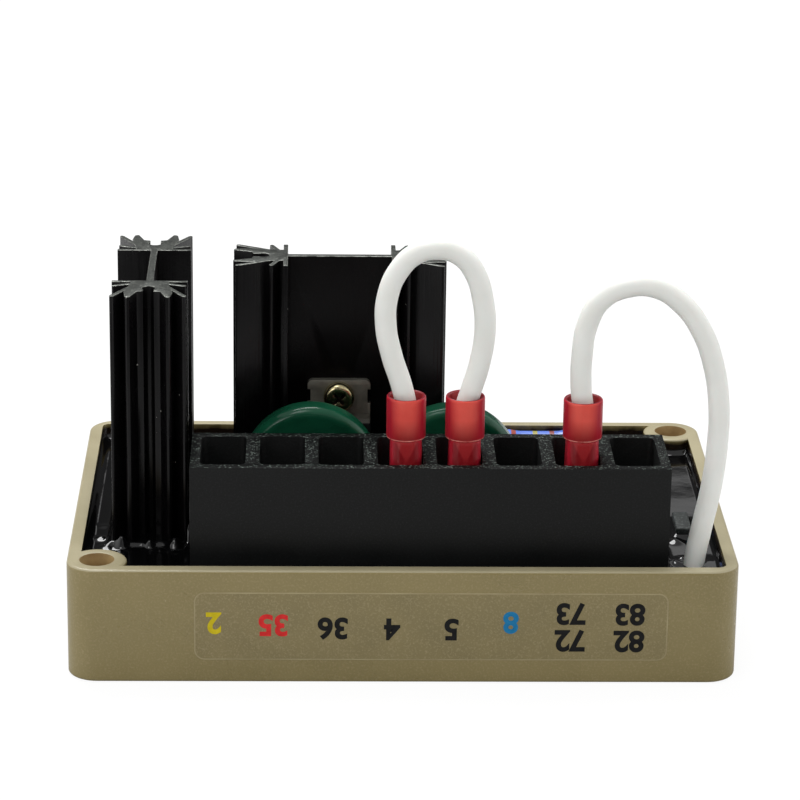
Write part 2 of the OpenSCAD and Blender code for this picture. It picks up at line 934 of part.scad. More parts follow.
// Both trimmers' pins, from under their bodies down through the board
module trimmer_legs(gap = 0) {
    for (place = [voltage_trimmer, stability_trimmer])
        for (i = [-1 : 1])
            lead([place[0] + i * trimmer_pitch, place[1]], trimmer_pin_d + 2 * gap, board_top);
}

module voltage_trimmer_body() {
    trimmer_body(voltage_trimmer);
}

module voltage_trimmer_rotor() {
    trimmer_rotor(voltage_trimmer);
}

module stability_trimmer_body() {
    trimmer_body(stability_trimmer);
}

module stability_trimmer_rotor() {
    trimmer_rotor(stability_trimmer);
}

module trimmer_pins() {
    color("silver")
        trimmer_legs();
}

// A sleeve of red nylon: a flat part over the receptacle and a round end over the barrel
module connector_sleeve(i) {
    flat_height = sleeve_step - sleeve_foot;
    pocket_height = barrel_top - barrel_length - sleeve_foot;
    color("firebrick")
        translate([plug_x(i), housing_y, board_top])
            difference() {
                union() {
                    translate([0, 0, sleeve_foot])
                        linear_extrude(flat_height)
                            round_rectangle([sleeve_flat, sleeve_width], sleeve_corner);
                    translate([0, 0, sleeve_step])
                        cylinder(d = sleeve_d, h = sleeve_top - sleeve_step);
                }
                translate([0, 0, sleeve_foot - over])
                    linear_extrude(pocket_height + over)
                        round_rectangle(
                            [sleeve_flat - 2 * sleeve_wall, sleeve_width - 2 * sleeve_wall],
                            sleeve_corner - sleeve_wall
                        );
                cylinder(d = sleeve_bore_d, h = sleeve_top);
                translate([0, 0, barrel_top])
                    cylinder(d = sleeve_d - 2 * sleeve_wall, h = sleeve_top);
            }
}

// A receptacle folded from sheet around the blade, with its neck and crimped barrel
module receptacle(i) {
    color("gainsboro")
        translate([plug_x(i), housing_y, board_top]) {
            translate([0, 0, receptacle_foot])
                linear_extrude(receptacle_grip) {
                    translate([lip_inner, -fold_outer])
                        square([receptacle_metal, 2 * fold_outer]);
                    for (side = [0, 1])
                        mirror([0, side]) {
                            translate([-lip_outer, fold_inner])
                                square([2 * lip_outer, receptacle_metal]);
                            translate([-lip_outer, fold_outer - receptacle_lip])
                                square([receptacle_metal, receptacle_lip]);
                        }
                }
            translate([lip_inner, -receptacle_neck / 2, receptacle_foot])
                cube([receptacle_metal, receptacle_neck, barrel_top - over - receptacle_foot]);
            translate([0, 0, barrel_top - barrel_length])
                cylinder(d = barrel_d, h = barrel_length);
        }
}

module jumper_wire() {
    color("white")
        tube(jumper_route, wire_d);
}

module frequency_lead() {
    color("white")
        tube(lead_route, wire_d);
}

module potting() {
    color("black")
        difference() {
            translate([0, 0, case_floor])
                linear_extrude(potting_top - case_floor)
                    inner_outline(potting_gap);
            for (place = bosses)
                translate([place[0], place[1], 0])
                    cylinder(r = corner_radius + potting_gap, h = case_height);
            for (place = pads)
                translate(place)
                    cylinder(d = pad_d + 2 * potting_gap, h = board_bottom);
            board_plate(potting_gap);
            board_leads(potting_gap);
            for (i = [1 : cells])
                blade_tails(i, potting_gap);
            housing_block(potting_gap);
            at_left_sink()
                translate([0, 0, board_top])
                    linear_extrude(sink_height)
                        sink_section(potting_gap);
            at_rear_sink()
                translate([0, 0, board_top])
                    linear_extrude(sink_height)
                        sink_section(potting_gap);
            varistor_disc(varistor_left_x, potting_gap);
            varistor_disc(varistor_right_x, potting_gap);
            resistor_body(potting_gap);
            capacitor_block(potting_gap);
            trimmer_block(voltage_trimmer, potting_gap);
            trimmer_block(stability_trimmer, potting_gap);
            translate([lead_route[0][0], lead_route[0][1], 0])
                cylinder(d = wire_d + 2 * potting_gap, h = case_height, $fn = wire_sides);
        }
}

case();
circuit_board();
potting();
terminal_housing();
for (i = [1 : cells])
    blade_terminal(i);
left_heat_sink();
rear_heat_sink();
heat_sink_pins();
left_device_tab();
left_device_body();
rear_device_tab();
rear_device_body();
device_leads();
device_screws();
device_nuts();
left_varistor();
right_varistor();
varistor_leads();
banded_resistor();
resistor_leads();
block_capacitor();
capacitor_leads();
voltage_trimmer_body();
voltage_trimmer_rotor();
stability_trimmer_body();
stability_trimmer_rotor();
trimmer_pins();
for (i = [1 : plugs])
    connector_sleeve(i);
for (i = [1 : plugs])
    receptacle(i);
jumper_wire();
frequency_lead();
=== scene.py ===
"""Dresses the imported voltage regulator: finishes, resin, label, leads and a plain studio."""

import logging
import math
from contextlib import contextmanager
from dataclasses import dataclass, field
from enum import Enum
from typing import Callable, Iterator, Sequence

import bpy
from mathutils import Matrix, Vector, noise


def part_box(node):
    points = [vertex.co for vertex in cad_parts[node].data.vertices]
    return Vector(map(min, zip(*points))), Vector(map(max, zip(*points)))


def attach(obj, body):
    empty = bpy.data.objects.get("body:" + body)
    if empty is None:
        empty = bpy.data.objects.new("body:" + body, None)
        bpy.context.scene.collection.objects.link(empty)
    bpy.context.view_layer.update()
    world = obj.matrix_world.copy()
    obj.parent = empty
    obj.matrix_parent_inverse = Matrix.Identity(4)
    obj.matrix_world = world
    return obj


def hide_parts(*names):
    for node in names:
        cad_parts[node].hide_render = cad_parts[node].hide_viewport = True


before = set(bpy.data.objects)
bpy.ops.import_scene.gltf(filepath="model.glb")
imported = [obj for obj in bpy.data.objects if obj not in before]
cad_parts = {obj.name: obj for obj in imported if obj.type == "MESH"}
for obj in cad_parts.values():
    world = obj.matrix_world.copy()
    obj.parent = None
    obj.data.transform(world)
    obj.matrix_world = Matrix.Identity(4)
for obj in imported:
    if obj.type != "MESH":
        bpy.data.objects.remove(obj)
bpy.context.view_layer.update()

MM = 0.001
TOUCH = 0.01 * MM
DOUBLED = 0.0005 * MM
LOOSE = 0.002 * MM
FLAT = math.radians(0.6)
QUARTER = math.radians(90)
BODY = "regulator"
Piece = bpy.types.Object
Face = bpy.types.MeshPolygon
Socket = bpy.types.NodeSocket
Colour = tuple[float, float, float]
Place = tuple[float, float, float]
Span = tuple[float, float]
Box = tuple[Vector, Vector]
Route = tuple[Place, ...]
Section = tuple[float, float, float, float]
log = logging.getLogger("regulator")


def srgb(red: int, green: int, blue: int) -> Colour:
    """Turns a colour as a screen shows it into the linear one that shaders take.

    Args:
        red: The red part, 0 to 255.
        green: The green part.
        blue: The blue part.

    Returns:
        The linear colour.
    """
    return tuple(
        c / 12.92 if c <= 0.04045 else ((c + 0.055) / 1.055) ** 2.4
        for c in (red / 255, green / 255, blue / 255)
    )


class Graph:
    """One node tree, with short ways to add and wire its nodes."""

    def __init__(self, tree: bpy.types.NodeTree) -> None:
        """Keeps the tree that the nodes go into."""
        self.tree = tree

    def add(self, kind: str, inputs: dict | None = None, **settings: object) -> bpy.types.Node:
        """Adds a node and sets it up.

        Args:
            kind: The node's type, as Blender names it.
            inputs: A value or a socket for each input, by the input's name or number.
            **settings: The node's own properties.

        Returns:
            The new node.
        """
        made = self.tree.nodes.new(kind)
        for name, value in settings.items():
            setattr(made, name, value)
        for key, value in (inputs or {}).items():
            self.feed(made.inputs[key], value)
        return made

    def feed(self, socket: Socket, value: object) -> None:
        """Links a socket into an input, or sets the input to a plain value.

        Args:
            socket: The input.
            value: Another node's output, or a value.
        """
        if isinstance(value, Socket):
            self.tree.links.new(value, socket)
        else:
            socket.default_value = value

    def math(self, operation: str, *values: object) -> Socket:
        """Adds a Math node on these values and gives its result."""
        return self.add("ShaderNodeMath", dict(enumerate(values)), operation=operation).outputs[0]

    def blend(self, share: object, first: object, second: object) -> Socket:
        """Mixes two colours by a share.

        Args:
            share: How much of the second colour shows.
            first: A colour, or a socket that gives one.
            second: The other colour or socket.

        Returns:
            The mixed colour.
        """
        pair = [(*c, 1.0) if isinstance(c, tuple) else c for c in (first, second)]
        made = self.add("ShaderNodeMix", {0: share, 6: pair[0], 7: pair[1]}, data_type="RGBA")
        return made.outputs[2]

    def span(self, value: object, low: float, high: float, to: Span) -> Socket:
        """Maps a value from low..high to another span, held at its ends."""
        ends = {"From Min": low, "From Max": high, "To Min": to[0], "To Max": to[1]}
        return self.add("ShaderNodeMapRange", {"Value": value, **ends}).outputs[0]


class Effect(Enum):
    """The surface effects that several finishes share."""

    GRAIN = "surface_grain"
    DRIFT = "tone_drift"
    STREAK = "long_streaks"
    DUST = "dust_specks"


class EffectLibrary:
    """Builds each shared effect once, as a shader node group with a mask for an output."""

    inputs = {"Vector": "NodeSocketVector", "Size": "NodeSocketFloat", "Amount": "NodeSocketFloat"}
    noise_span: Span = (0.3, 0.7)
    drawn_out: Place = (1.0, 1.0, 0.015)
    speck_r: Span = (0.05, 0.17)

    def group(self, effect: Effect) -> bpy.types.NodeTree:
        """Gives an effect's node group, built on its first use.

        Args:
            effect: The effect.

        Returns:
            Its node group.
        """
        found = bpy.data.node_groups.get(effect.value)
        if found:
            return found
        tree = bpy.data.node_groups.new(effect.value, "ShaderNodeTree")
        for name, kind in self.inputs.items():
            tree.interface.new_socket(name, in_out="INPUT", socket_type=kind)
        tree.interface.new_socket("Mask", in_out="OUTPUT", socket_type="NodeSocketFloat")
        graph = Graph(tree)
        source = graph.add("NodeGroupInput")
        per_metre = graph.math("DIVIDE", 1 / MM, source.outputs["Size"])
        maker = {
            Effect.GRAIN: self._grain,
            Effect.DRIFT: self._drift,
            Effect.STREAK: self._streak,
            Effect.DUST: self._dust,
        }[effect]
        mask = maker(graph, source.outputs["Vector"], per_metre, source.outputs["Amount"])
        graph.add("NodeGroupOutput", {"Mask": mask})
        return tree

    @staticmethod
    def _grain(graph: Graph, place: object, scale: object, amount: object) -> Socket:
        """Makes fine stipple.

        Args:
            graph: The group's nodes.
            place: The coordinates.
            scale: How often the pattern repeats in a metre.
            amount: The stipple's contrast.

        Returns:
            The mask.
        """
        fine = graph.add("ShaderNodeTexNoise", {"Vector": place, "Scale": scale, "Detail": 3.0})
        centred = graph.math("SUBTRACT", fine.outputs[0], 0.5)
        return graph.math("MULTIPLY_ADD", centred, amount, 0.5)

    def _drift(self, graph: Graph, place: object, scale: object, amount: object) -> Socket:
        """Makes a slow change of tone from place to place.

        Args:
            graph: The group's nodes.
            place: The coordinates.
            scale: How often the pattern repeats in a metre.
            amount: The change's strength.

        Returns:
            The mask.
        """
        slow = graph.add("ShaderNodeTexNoise", {"Vector": place, "Scale": scale, "Detail": 4.0})
        spread = graph.span(slow.outputs[0], *self.noise_span, (0.0, 1.0))
        return graph.math("MULTIPLY", spread, amount)

    def _streak(self, graph: Graph, place: object, scale: object, amount: object) -> Socket:
        """Makes lines along the third axis: drift, drawn out long."""
        drawn = graph.add("ShaderNodeVectorMath", {0: place, 1: self.drawn_out}, operation="MULTIPLY")
        return self._drift(graph, drawn.outputs[0], scale, amount)

    def _dust(self, graph: Graph, place: object, scale: object, amount: object) -> Socket:
        """Makes a few scattered specks.

        Args:
            graph: The group's nodes.
            place: The coordinates.
            scale: How many cells there are in a metre.
            amount: The share of cells that hold a speck.

        Returns:
            The mask.
        """
        cells = graph.add("ShaderNodeTexVoronoi", {"Vector": place, "Scale": scale})
        parts = graph.add("ShaderNodeSeparateColor", {0: cells.outputs["Color"]})
        chosen = graph.math("LESS_THAN", parts.outputs[0], amount)
        radius = graph.span(parts.outputs[1], 0.0, 1.0, self.speck_r)
        near = graph.math("LESS_THAN", cells.outputs["Distance"], radius)
        return graph.math("MULTIPLY", chosen, near)


effects = EffectLibrary()


class Lay(Enum):
    """The way that long lines run over a surface, as a turn of its coordinates."""

    NONE = None
    UPRIGHT = (0.0, 0.0, 0.0)
    SAWN = (0.0, QUARTER, math.radians(38))


@dataclass(frozen=True)
class Finish:
    """A surface finish: body colour and its drift, gloss, grain, lines and dust."""

    name: str
    colour: Colour
    shade: Colour
    roughness: float = 0.5
    gloss_spread: float = 0.06
    drift_mm: float = 9.0
    grain_mm: float = 0.35
    grain_depth_mm: float = 0.01
    metallic: float = 0.0
    specular: float = 0.5
    coat: float = 0.0
    coat_roughness: float = 0.1
    transmission: float = 0.0
    subsurface: float = 0.0
    subsurface_mm: float = 1.2
    subsurface_reach: Place = (1.0, 0.25, 0.2)
    lay: Lay = Lay.NONE
    line_mm: float = 0.4
    line_depth_mm: float = 0.02
    dust: float = 0.0
    dust_mm: float = 1.6
    dust_colour: Colour = srgb(176, 174, 168)
    flecks: float = 0.0
    fleck_edges: Span = (0.5, 0.75)
    fleck_colour: Colour = srgb(176, 174, 168)

    def material(self) -> bpy.types.Material:
        """Gives the finish's material, built on its first use.

        Returns:
            The material.
        """
        found = bpy.data.materials.get(f"{self.name}_finish")
        if found:
            return found
        made = bpy.data.materials.new(f"{self.name}_finish")
        made.use_nodes = True
        graph = Graph(made.node_tree)
        shader = made.node_tree.nodes["Principled BSDF"]
        place = graph.add("ShaderNodeTexCoord").outputs["Object"]
        grain = self.effect(graph, Effect.GRAIN, place, self.grain_mm)
        drift = self.effect(graph, Effect.DRIFT, place, self.drift_mm)
        graph.feed(shader.inputs["Base Color"], self.tone(graph, place, drift, grain))
        spread = (self.roughness - self.gloss_spread, self.roughness + self.gloss_spread)
        graph.feed(shader.inputs["Roughness"], graph.span(drift, 0.0, 1.0, spread))
        normal = self.bump(graph, grain, self.grain_depth_mm)
        if self.lay is not Lay.NONE:
            turned = graph.add("ShaderNodeMapping", {"Vector": place, "Rotation": self.lay.value})
            lines = self.effect(graph, Effect.STREAK, turned.outputs[0], self.line_mm)
            normal = self.bump(graph, lines, self.line_depth_mm, normal)
        graph.feed(shader.inputs["Normal"], normal)
        self.set_plain(shader)
        return made

    @staticmethod
    def effect(graph: Graph, kind: Effect, place: object, size: float, amount: float = 1.0) -> Socket:
        """Places a shared effect in a material.

        Args:
            graph: The material's nodes.
            kind: The effect.
            place: The coordinates.
            size: The pattern's size in millimetres.
            amount: The effect's strength.

        Returns:
            The effect's mask.
        """
        made = graph.add("ShaderNodeGroup", node_tree=effects.group(kind))
        for name, value in (("Vector", place), ("Size", size), ("Amount", amount)):
            graph.feed(made.inputs[name], value)
        return made.outputs["Mask"]

    def tone(self, graph: Graph, place: object, drift: object, grain: object) -> Socket:
        """Colours the body: it drifts between its two tones, with any flecks and dust on it.

        Args:
            graph: The material's nodes.
            place: The coordinates.
            drift: The mask of the slow change.
            grain: The mask of the stipple.

        Returns:
            The colour.
        """
        tone = graph.blend(drift, self.shade, self.colour)
        if self.flecks:
            share = graph.span(grain, *self.fleck_edges, (0.0, self.flecks))
            tone = graph.blend(share, tone, self.fleck_colour)
        if self.dust:
            specks = self.effect(graph, Effect.DUST, place, self.dust_mm, self.dust)
            tone = graph.blend(specks, tone, self.dust_colour)
        return tone

    @staticmethod
    def bump(graph: Graph, height: object, depth_mm: float, below: object = None) -> Socket:
        """Turns a height mask into a surface normal.

        Args:
            graph: The material's nodes.
            height: The mask.
            depth_mm: How deep the mask's full span is.
            below: The normal of a bump below this one, if there is one.

        Returns:
            The normal.
        """
        inputs = {"Height": height, "Strength": 1.0, "Distance": depth_mm * MM}
        if below is not None:
            inputs["Normal"] = below
        return graph.add("ShaderNodeBump", inputs).outputs[0]

    def set_plain(self, shader: bpy.types.Node) -> None:
        """Sets the values that are the same all over, on the shader's own sockets.

        Args:
            shader: The material's Principled shader.
        """
        plain = {
            "Metallic": self.metallic,
            "Specular IOR Level": self.specular,
            "Coat Weight": self.coat,
            "Coat Roughness": self.coat_roughness,
            "Transmission Weight": self.transmission,
            "Subsurface Weight": self.subsurface,
            "Subsurface Radius": self.subsurface_reach,
            "Subsurface Scale": self.subsurface_mm * MM,
        }
        for name, value in plain.items():
            shader.inputs[name].default_value = value


@dataclass(frozen=True)
class BandedFinish(Finish):
    """A resistor's coating with painted rings across its length."""

    bands: tuple[tuple[float, Colour], ...] = ()
    band_mm: float = 1.3
    band_fade: Span = (0.42, 0.5)

    def tone(self, graph: Graph, place: object, drift: object, grain: object) -> Socket:
        """Paints each ring over the coating's colour, at its place along X.

        Args:
            graph: The material's nodes.
            place: The coordinates.
            drift: The mask of the slow change.
            grain: The mask of the stipple.

        Returns:
            The colour.
        """
        tone = super().tone(graph, place, drift, grain)
        along = graph.add("ShaderNodeSeparateXYZ", {0: place}).outputs[0]
        fade = [share * self.band_mm * MM for share in self.band_fade]
        for centre, paint in self.bands:
            away = graph.math("ABSOLUTE", graph.math("SUBTRACT", along, centre * MM))
            tone = graph.blend(graph.span(away, *fade, (1.0, 0.0)), tone, paint)
        return tone


@dataclass(frozen=True)
class ClearFinish(Finish):
    """A see-through sleeve with painted shade: darker edge on, and darker under the step where the cell's
    shadow and the metal lie behind it.
    """

    # edge, deep and funnel are painted shade: darker towards the outline, darker under the step, and a
    # lighter funnel painted into that shade.
    edge: Colour = (0.0, 0.0, 0.0)
    edge_shade_span: Span = (0.09, 0.42)
    deep: Colour = (0.0, 0.0, 0.0)
    deep_below_mm: float = 0.0
    deep_shade_fade_mm: Span = (-0.4, 3.4)
    funnel: Colour = (0.0, 0.0, 0.0)
    funnel_mm: Place = (0.35, 1.6, 2.4)
    funnel_share: float = 0.75
    funnel_soft_mm: float = 0.15
    foot_fade_mm: Span = (-0.5, 0.3)
    foot_share: float = 0.25
    top_fade_mm: float = 0.1
    axis_mm: float = 0.0
    pitch_mm: float = 1.0

    def tone(self, graph: Graph, place: object, drift: object, grain: object) -> Socket:
        """Colours the plastic with painted shade: the deep colour over the metal, the edge shade towards
        its outline, then the painted funnel.

        Args:
            graph: The material's nodes.
            place: The coordinates.
            drift: The mask of the slow change.
            grain: The mask of the stipple.

        Returns:
            The colour.
        """
        tone = super().tone(graph, place, drift, grain)
        across, _, height = graph.add("ShaderNodeSeparateXYZ", {0: place}).outputs
        fade = [(self.deep_below_mm + away) * MM for away in self.deep_shade_fade_mm]
        tone = graph.blend(graph.span(height, *fade, (1.0, 0.0)), tone, self.deep)
        turned = graph.add("ShaderNodeLayerWeight", {"Blend": 0.5}).outputs["Facing"]
        tone = graph.blend(graph.span(turned, *self.edge_shade_span, (0.0, 1.0)), tone, self.edge)
        return graph.blend(self.throat(graph, across, height), tone, self.funnel)

    def throat(self, graph: Graph, across: object, height: object) -> Socket:
        """Masks the painted funnel that shows through under the step: wide at its top, narrow below.

        Args:
            graph: The material's nodes.
            across: The place along X, where one sleeve stands at each pitch.
            height: The place along Z.

        Returns:
            The mask.
        """
        narrow, wide, tall = self.funnel_mm
        half = self.pitch_mm / 2 * MM
        off = graph.math("WRAP", graph.math("SUBTRACT", across, self.axis_mm * MM), half, -half)
        top = self.deep_below_mm * MM
        foot = top - tall * MM
        reach = graph.span(height, foot, top, (narrow * MM, wide * MM))
        inside = graph.math("SUBTRACT", graph.math("ABSOLUTE", off), reach)
        soft = self.funnel_soft_mm * MM
        mask = graph.span(inside, -soft, soft, (self.funnel_share, 0.0))
        fade = [foot + away * MM for away in self.foot_fade_mm]
        mask = graph.math("MULTIPLY", mask, graph.span(height, *fade, (self.foot_share, 1.0)))
        below = graph.span(height, top - self.top_fade_mm * MM, top, (1.0, 0.0))
        return graph.math("MULTIPLY", mask, below)


@dataclass(frozen=True)
class ResinReflectionFinish(Finish):
    """The tray's plastic with a painted dark reflection of the black resin on the lower part of its inner
    walls.
    """

    resin_reflection: Colour = (0.0, 0.0, 0.0)
    resin_reflection_mm: Span = (0.0, 1.0)
    waver_mm: float = 0.7

    def tone(self, graph: Graph, place: object, drift: object, grain: object) -> Socket:
        """Colours the plastic, going over to the painted reflection's dark colour downwards along an
        uneven line.

        Args:
            graph: The material's nodes.
            place: The coordinates.
            drift: The mask of the slow change.
            grain: The mask of the stipple.

        Returns:
            The colour.
        """
        tone = super().tone(graph, place, drift, grain)
        height = graph.add("ShaderNodeSeparateXYZ", {0: place}).outputs[2]
        line = graph.math("MULTIPLY_ADD", drift, self.waver_mm * MM, height)
        share = graph.span(line, self.resin_reflection_mm[0] * MM, self.resin_reflection_mm[1] * MM, (1.0, 0.0))
        return graph.blend(share, tone, self.resin_reflection)


TAN_PLASTIC = Finish(
    "tan_plastic", srgb(143, 129, 85), srgb(134, 121, 78), roughness=0.3, drift_mm=14.0,
    grain_mm=0.32, grain_depth_mm=0.03, flecks=0.5, fleck_colour=srgb(166, 150, 112),
    dust=0.02, dust_colour=srgb(178, 164, 128),
)
# Painted reflection: the inner walls go dark brown below 17.35 to 18.3 mm, for the black resin that they
# mirror.
TAN_RESIN_REFLECTION = ResinReflectionFinish(
    "tan_resin_reflection", srgb(143, 129, 85), srgb(134, 121, 78), roughness=0.22, drift_mm=3.0,
    grain_mm=0.32, grain_depth_mm=0.03, resin_reflection=srgb(30, 20, 12), resin_reflection_mm=(17.35, 18.3),
)
# Painted light and shade: the screw bores get a browner copy of the tan, lighter and darker from place to
# place, for the light inside them.
BORE_SHADING_TAN = Finish(
    "bore_shading_tan", srgb(178, 152, 106), srgb(138, 110, 70), roughness=0.35, drift_mm=3.0,
    grain_mm=0.32, grain_depth_mm=0.03,
)
# Painted sheen: a paler, greyer copy of the tan on the rim's top, for the light that it catches.
RIM_SHEEN_TAN = Finish(
    "rim_sheen_tan", srgb(168, 159, 128), srgb(158, 149, 119), roughness=0.34, grain_mm=0.32,
    grain_depth_mm=0.03,
)
LABEL_FILM = Finish(
    "label_film", srgb(139, 126, 86), srgb(130, 118, 80), roughness=0.42, drift_mm=5.0,
    grain_mm=0.26, grain_depth_mm=0.03, specular=0.45, flecks=0.6, fleck_colour=srgb(166, 152, 116),
)
# Painted highlight along the label film's cut edge.
FILM_EDGE_HIGHLIGHT = Finish(
    "film_edge_highlight", srgb(168, 156, 119), srgb(148, 134, 97), roughness=0.34, drift_mm=4.0,
)
BLACK_MOULDING = Finish(
    "black_moulding", srgb(18, 19, 19), srgb(13, 14, 14), drift_mm=11.0, grain_mm=0.28,
    grain_depth_mm=0.02, specular=0.22, flecks=0.25, fleck_colour=srgb(48, 50, 50), dust=0.004,
)
# The housing's top faces: a darker copy of the moulding whose stipple is real, with pale flecks on its
# crests as painted glints.
STIPPLE_GLINT_TOP = Finish(
    "stippled_top_glints", srgb(6, 7, 7), srgb(4, 5, 5), roughness=0.42, drift_mm=11.0, grain_mm=0.33,
    grain_depth_mm=0.08, specular=0.08, flecks=0.95, fleck_edges=(0.59, 0.64),
    fleck_colour=srgb(98, 108, 102),
)
BLACK_EPOXY = Finish(
    "device_epoxy", srgb(24, 24, 25), srgb(18, 18, 19), roughness=0.46, grain_mm=0.2,
    grain_depth_mm=0.012, specular=0.4,
)
# A paler grey copy of the epoxy, for the body's upward faces.
PALE_TOP_EPOXY = Finish(
    "pale_top_epoxy", srgb(74, 72, 64), srgb(60, 58, 52), roughness=0.6, drift_mm=2.4, grain_mm=0.2,
    grain_depth_mm=0.012, specular=0.3,
)
RESIN = Finish(
    "potting_resin", srgb(9, 9, 10), srgb(6, 6, 7), roughness=0.07, gloss_spread=0.03, drift_mm=12.0,
    grain_mm=2.5, grain_depth_mm=0.012, dust=0.006,
)
ANODISED = Finish(
    "black_anodised", srgb(11, 10, 11), srgb(6, 5, 6), roughness=0.25, grain_mm=0.2,
    grain_depth_mm=0.004, specular=0.24, lay=Lay.UPRIGHT, line_mm=0.35, line_depth_mm=0.015,
    dust=0.012, dust_mm=0.7,
)
# Painted shade: a darker, duller copy of the anodised finish for the broad web faces.
SHADED_WEB_BLACK = Finish(
    "shaded_web_black", srgb(10, 8, 8), srgb(6, 4, 5), roughness=0.32, grain_mm=0.2, grain_depth_mm=0.004,
    specular=0.12, lay=Lay.UPRIGHT, line_mm=0.35, line_depth_mm=0.015,
)
SAWN = Finish(
    "sawn_aluminium", srgb(58, 61, 57), srgb(34, 37, 33), drift_mm=1.2, metallic=0.6, grain_mm=0.3,
    grain_depth_mm=0.02, flecks=0.6, fleck_edges=(0.56, 0.68), fleck_colour=srgb(112, 114, 108),
    lay=Lay.SAWN, line_mm=0.22, line_depth_mm=0.03, dust=0.02,
)
# The cut end's rounded edge: bare metal of the saw burr, lightened as a painted highlight.
BURR_HIGHLIGHT = Finish(
    "burr_highlight", srgb(146, 148, 142), srgb(52, 54, 51), roughness=0.4, drift_mm=0.8, metallic=0.8,
    grain_mm=0.3, grain_depth_mm=0.02,
)
TAB_METAL = Finish(
    "device_plate", srgb(138, 136, 126), srgb(112, 110, 101), drift_mm=2.4, metallic=0.75,
    grain_mm=0.2,
)
TINNED = Finish(
    "tinned_metal", srgb(206, 204, 196), srgb(176, 174, 166), roughness=0.3, drift_mm=3.0,
    metallic=1.0, grain_mm=0.4, grain_depth_mm=0.006,
)
PLATED = Finish(
    "screw_brass", srgb(206, 194, 154), srgb(160, 148, 108), roughness=0.2, drift_mm=1.6,
    metallic=1.0, grain_mm=0.3, grain_depth_mm=0.006,
)
# Painted shade: the cross recess is coloured dark brown, for the shade inside it.
RECESS_SHADE = Finish(
    "screw_recess_shade", srgb(46, 40, 28), srgb(24, 20, 14), roughness=0.45, drift_mm=0.6, metallic=0.7,
)
GREEN_COAT = Finish(
    "varistor_coating", srgb(20, 82, 57), srgb(13, 64, 44), roughness=0.3, drift_mm=6.0,
    grain_mm=2.2, grain_depth_mm=0.05, specular=0.1, coat=0.35, coat_roughness=0.03,
)
# Painted shade on the sleeves: darker towards the outline and under the step, with a lighter funnel
# painted into it.
RED_NYLON = ClearFinish(
    "red_nylon", srgb(253, 104, 90), srgb(244, 86, 74), roughness=0.34, drift_mm=3.0, grain_mm=0.9,
    grain_depth_mm=0.012, specular=0.08, transmission=0.25, subsurface=0.15, lay=Lay.UPRIGHT,
    line_mm=0.9, line_depth_mm=0.06, edge=srgb(190, 36, 54), deep=srgb(142, 10, 22),
    deep_below_mm=34.3, funnel=srgb(178, 40, 44), axis_mm=0.4, pitch_mm=8.8,
)
# Painted highlight: a pale pink line on the sleeve's step, for the light along its edge.
NYLON_STEP_HIGHLIGHT = Finish(
    "nylon_step_highlight", srgb(240, 158, 148), srgb(206, 92, 88), roughness=0.3, drift_mm=0.9,
    grain_mm=0.6, subsurface=0.2,
)
# Painted shade: a darker red copy of the nylon on the sleeve's top rim.
NYLON_RIM_SHADE = Finish(
    "nylon_rim_shade", srgb(134, 26, 42), srgb(112, 16, 32), roughness=0.35, drift_mm=1.5, grain_mm=0.8,
    specular=0.3,
)
# Painted shade: a darker red copy of the nylon for the sleeve's inside and its foot.
INNER_NYLON_SHADE = Finish(
    "inner_nylon_shade", srgb(176, 40, 44), srgb(140, 26, 32), roughness=0.35, drift_mm=2.0,
    grain_mm=0.8, transmission=0.2,
)
WHITE_PVC = Finish(
    "white_insulation", srgb(244, 245, 240), srgb(236, 237, 231), roughness=0.36, drift_mm=7.0,
    grain_mm=0.5, grain_depth_mm=0.008, subsurface=0.06,
)
BLUE_CERAMIC = BandedFinish(
    "resistor_coating", srgb(84, 120, 214), srgb(66, 100, 196), roughness=0.35, drift_mm=3.0,
    grain_mm=0.7, grain_depth_mm=0.02, coat=0.2, band_mm=0.85,
    bands=(
        (19.4, srgb(150, 58, 44)), (22.95, srgb(158, 148, 62)), (25.7, srgb(128, 44, 40)),
        (28.2, srgb(120, 60, 32)),
    ),
)
CAPACITOR_CASE = Finish(
    "capacitor_plastic", srgb(40, 44, 43), srgb(30, 34, 33), roughness=0.6, grain_mm=0.4,
    grain_depth_mm=0.06, specular=0.3, flecks=0.7, fleck_edges=(0.54, 0.68),
    fleck_colour=srgb(96, 102, 100),
)
BLUE_MOULDING = Finish(
    "trimmer_plastic", srgb(36, 82, 178), srgb(30, 70, 158), roughness=0.4, grain_mm=0.3,
)
ROTOR_WHITE = Finish(
    "rotor_plastic", srgb(228, 226, 216), srgb(214, 212, 202), roughness=0.42, grain_mm=0.3,
)
LAMINATE = Finish(
    "board_laminate", srgb(30, 84, 48), srgb(24, 70, 40), roughness=0.4, grain_mm=0.6,
)


def ink(name: str, colour: Colour, gain: float = 1.25, veil: float = 0.004) -> Finish:
    """Gives a printing ink: a thin even film of one colour with a faint unevenness.

    Args:
        name: The finish's name.
        colour: The ink's colour.
        gain: How much lighter the ink is where it lies thin.
        veil: The light that is added to it there.

    Returns:
        The finish.
    """
    pale = tuple(min(1.0, gain * c + veil) for c in colour)
    return Finish(
        name, colour, pale, roughness=0.45, drift_mm=0.9, grain_mm=0.2, grain_depth_mm=0.004, specular=0.2
    )


class Pick(Enum):
    """What an edit-mode step works on."""

    EDGE = "EDGE"
    FACE = "FACE"


def take(piece: Piece) -> None:
    """Makes a piece the only selected object, and the active one.

    Args:
        piece: The piece.
    """
    bpy.ops.object.select_all(action="DESELECT")
    piece.select_set(True)
    bpy.context.view_layer.objects.active = piece


